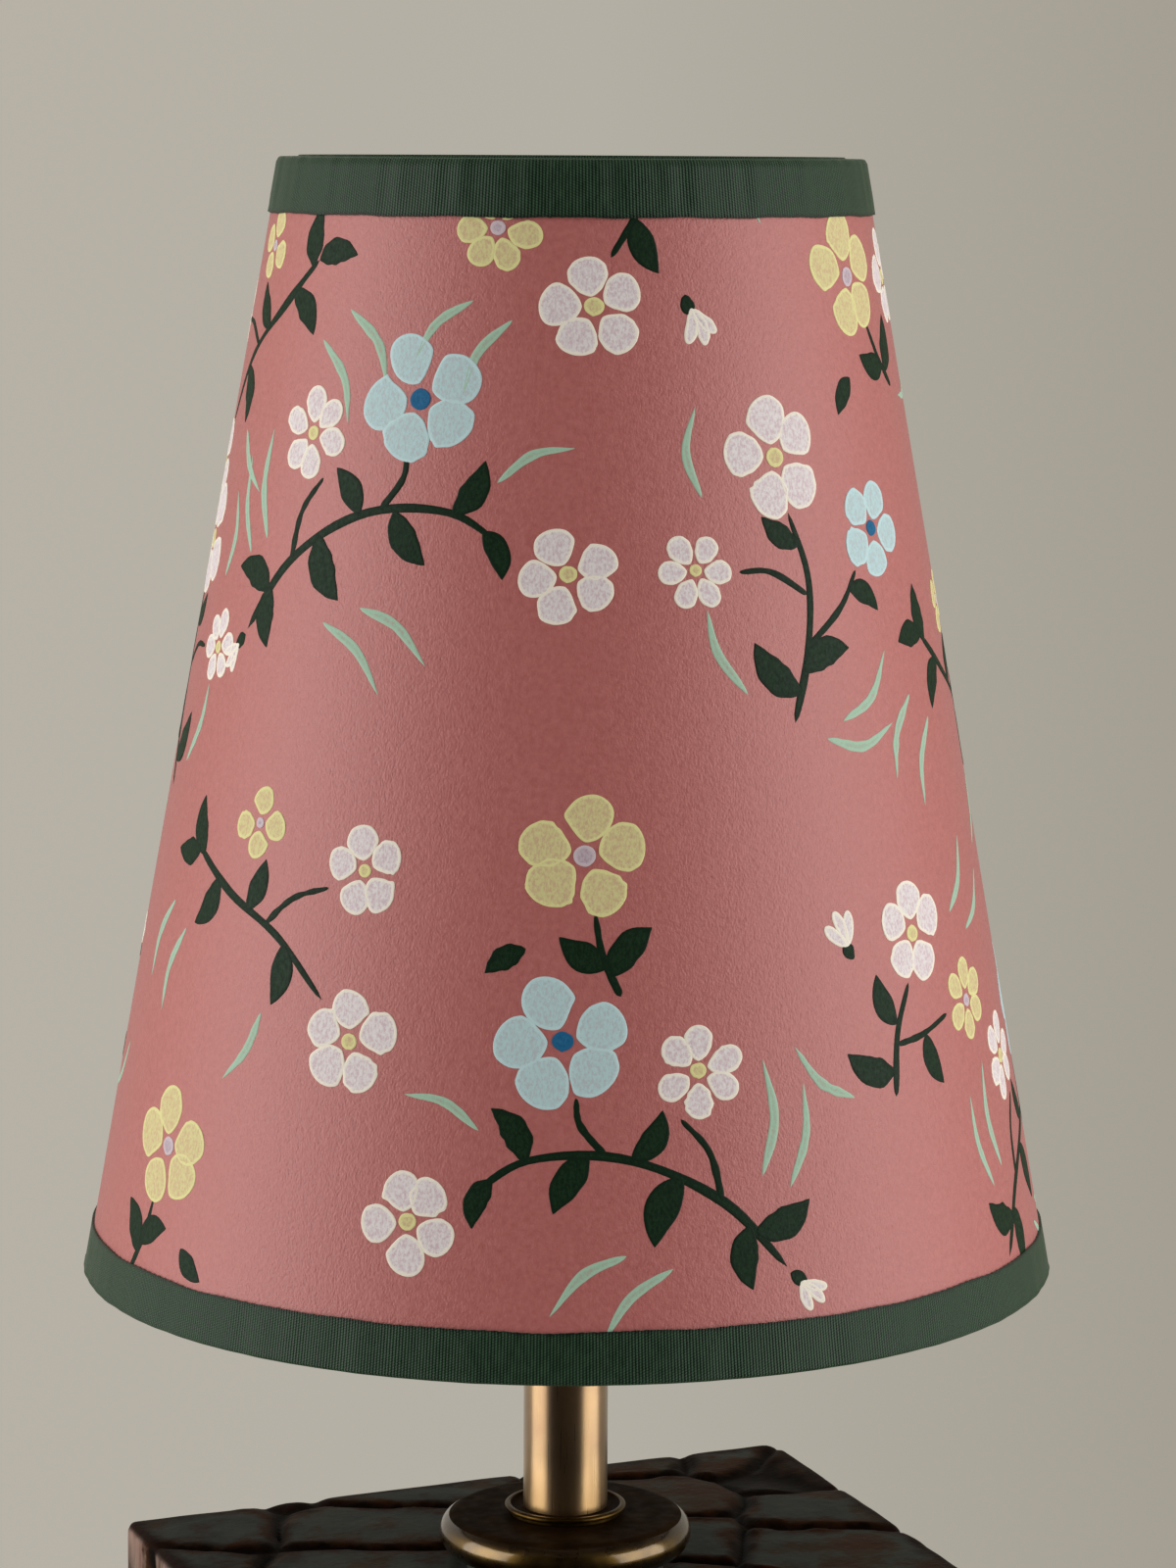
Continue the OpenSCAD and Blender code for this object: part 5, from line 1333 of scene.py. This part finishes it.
def softbox(name, turn):
    """An upright rectangular lamp that faces the axis; its power is radiance, pi and area."""
    lamp = bpy.data.lights.new(name, "AREA")
    lamp.shape = "RECTANGLE"
    lamp.size, lamp.size_y = SOFTBOX_W, SOFTBOX_H
    lamp.energy = SOFTBOX_RADIANCE * math.pi * SOFTBOX_W * SOFTBOX_H
    lamp.color = (1.0, 0.985, 0.965)
    stand = in_scene(name, lamp)
    stand.location = (SOFTBOX_FAR * math.cos(turn), SOFTBOX_FAR * math.sin(turn), SOFTBOX_Z)
    stand.rotation_mode = "QUATERNION"
    stand.rotation_quaternion = Vector((-math.cos(turn), -math.sin(turn), -0.12)).to_track_quat("-Z", "Y")
    stand.visible_camera = False


softbox("softbox_left", FRONT - math.radians(78))
softbox("softbox_right", FRONT + math.radians(74))

world = bpy.data.worlds.new("studio")
bpy.context.scene.world = world
world.use_nodes = True
world.node_tree.nodes.clear()
rays = add(world, "LightPath", {})
seen = reckon(world, "MAXIMUM", rays["Is Camera Ray"], rays["Is Glossy Ray"])
seen = reckon(world, "MAXIMUM", seen, rays["Is Transmission Ray"])
view_way = add(world, "TexCoord", {})["Generated"]
right_way = (math.sin(heading), -math.cos(heading), 0)
to_right = add(world, "VectorMath", {0: view_way, 1: right_way}, operation="DOT_PRODUCT")["Value"]
share = add(world, "MapRange", {"Value": to_right, "From Min": -BACKDROP_HALF,
                                "From Max": BACKDROP_HALF})[0]
# The background is painted darker to the right: painted falloff of the light across it.
backdrop = ramp(world, share, [(0.0, (183, 177, 166)), (0.5, (180, 175, 164)), (1.0, (163, 157, 145))])
fill = add(world, "Background", {"Color": (1, 0.98, 0.95, 1), "Strength": 0.24})[0]
plain = add(world, "Background", {"Color": backdrop, "Strength": 1.0})[0]
add(world, "OutputWorld", {"Surface": add(world, "MixShader", {0: seen, 1: fill, 2: plain})[0]})

floor_mat = finish("pale floor", (196, 190, 178), 0.9)
floor_spot = add(floor_mat, "VectorMath", {0: add(floor_mat, "TexCoord", {})["Object"]},
                 operation="LENGTH")["Value"]
fade = add(floor_mat, "MapRange", {"Value": floor_spot, "From Min": FADE_FROM, "From Max": FADE_TO},
           interpolation_type="SMOOTHSTEP")[0]
clear = add(floor_mat, "BsdfTransparent", {})[0]
mixed = add(floor_mat, "MixShader", {0: fade, 1: floor_mat.node_tree.nodes["Principled BSDF"].outputs[0],
                                     2: clear})[0]
floor_mat.node_tree.links.new(mixed, floor_mat.node_tree.nodes["Material Output"].inputs["Surface"])
mesh = bpy.data.meshes.new("floor")
mesh.from_pydata(round_axis(FLOOR_R, circle(96), 0).tolist(), [], [list(range(96))])
mesh.materials.append(floor_mat)
in_scene("floor", mesh)

dark = bpy.data.materials.new("dark screen")
dark.use_nodes = True
dark.node_tree.nodes["Principled BSDF"].inputs["Base Color"].default_value = (0.012, 0.007, 0.003, 1)
bow = FRONT + np.radians(np.linspace(-58, 58, SCREEN_COLUMNS))
wall = round_axis(SCREEN_R, bow, np.array([[SCREEN_LOW], [SCREEN_HIGH]])).reshape(-1, 3)
mesh = bpy.data.meshes.new("dark_screen")
mesh.from_pydata(wall.tolist(), [], quads(2, SCREEN_COLUMNS).tolist())
mesh.materials.append(dark)
screen = in_scene("dark_screen", mesh)
screen.visible_camera = False
screen.visible_diffuse = False
screen.visible_shadow = False
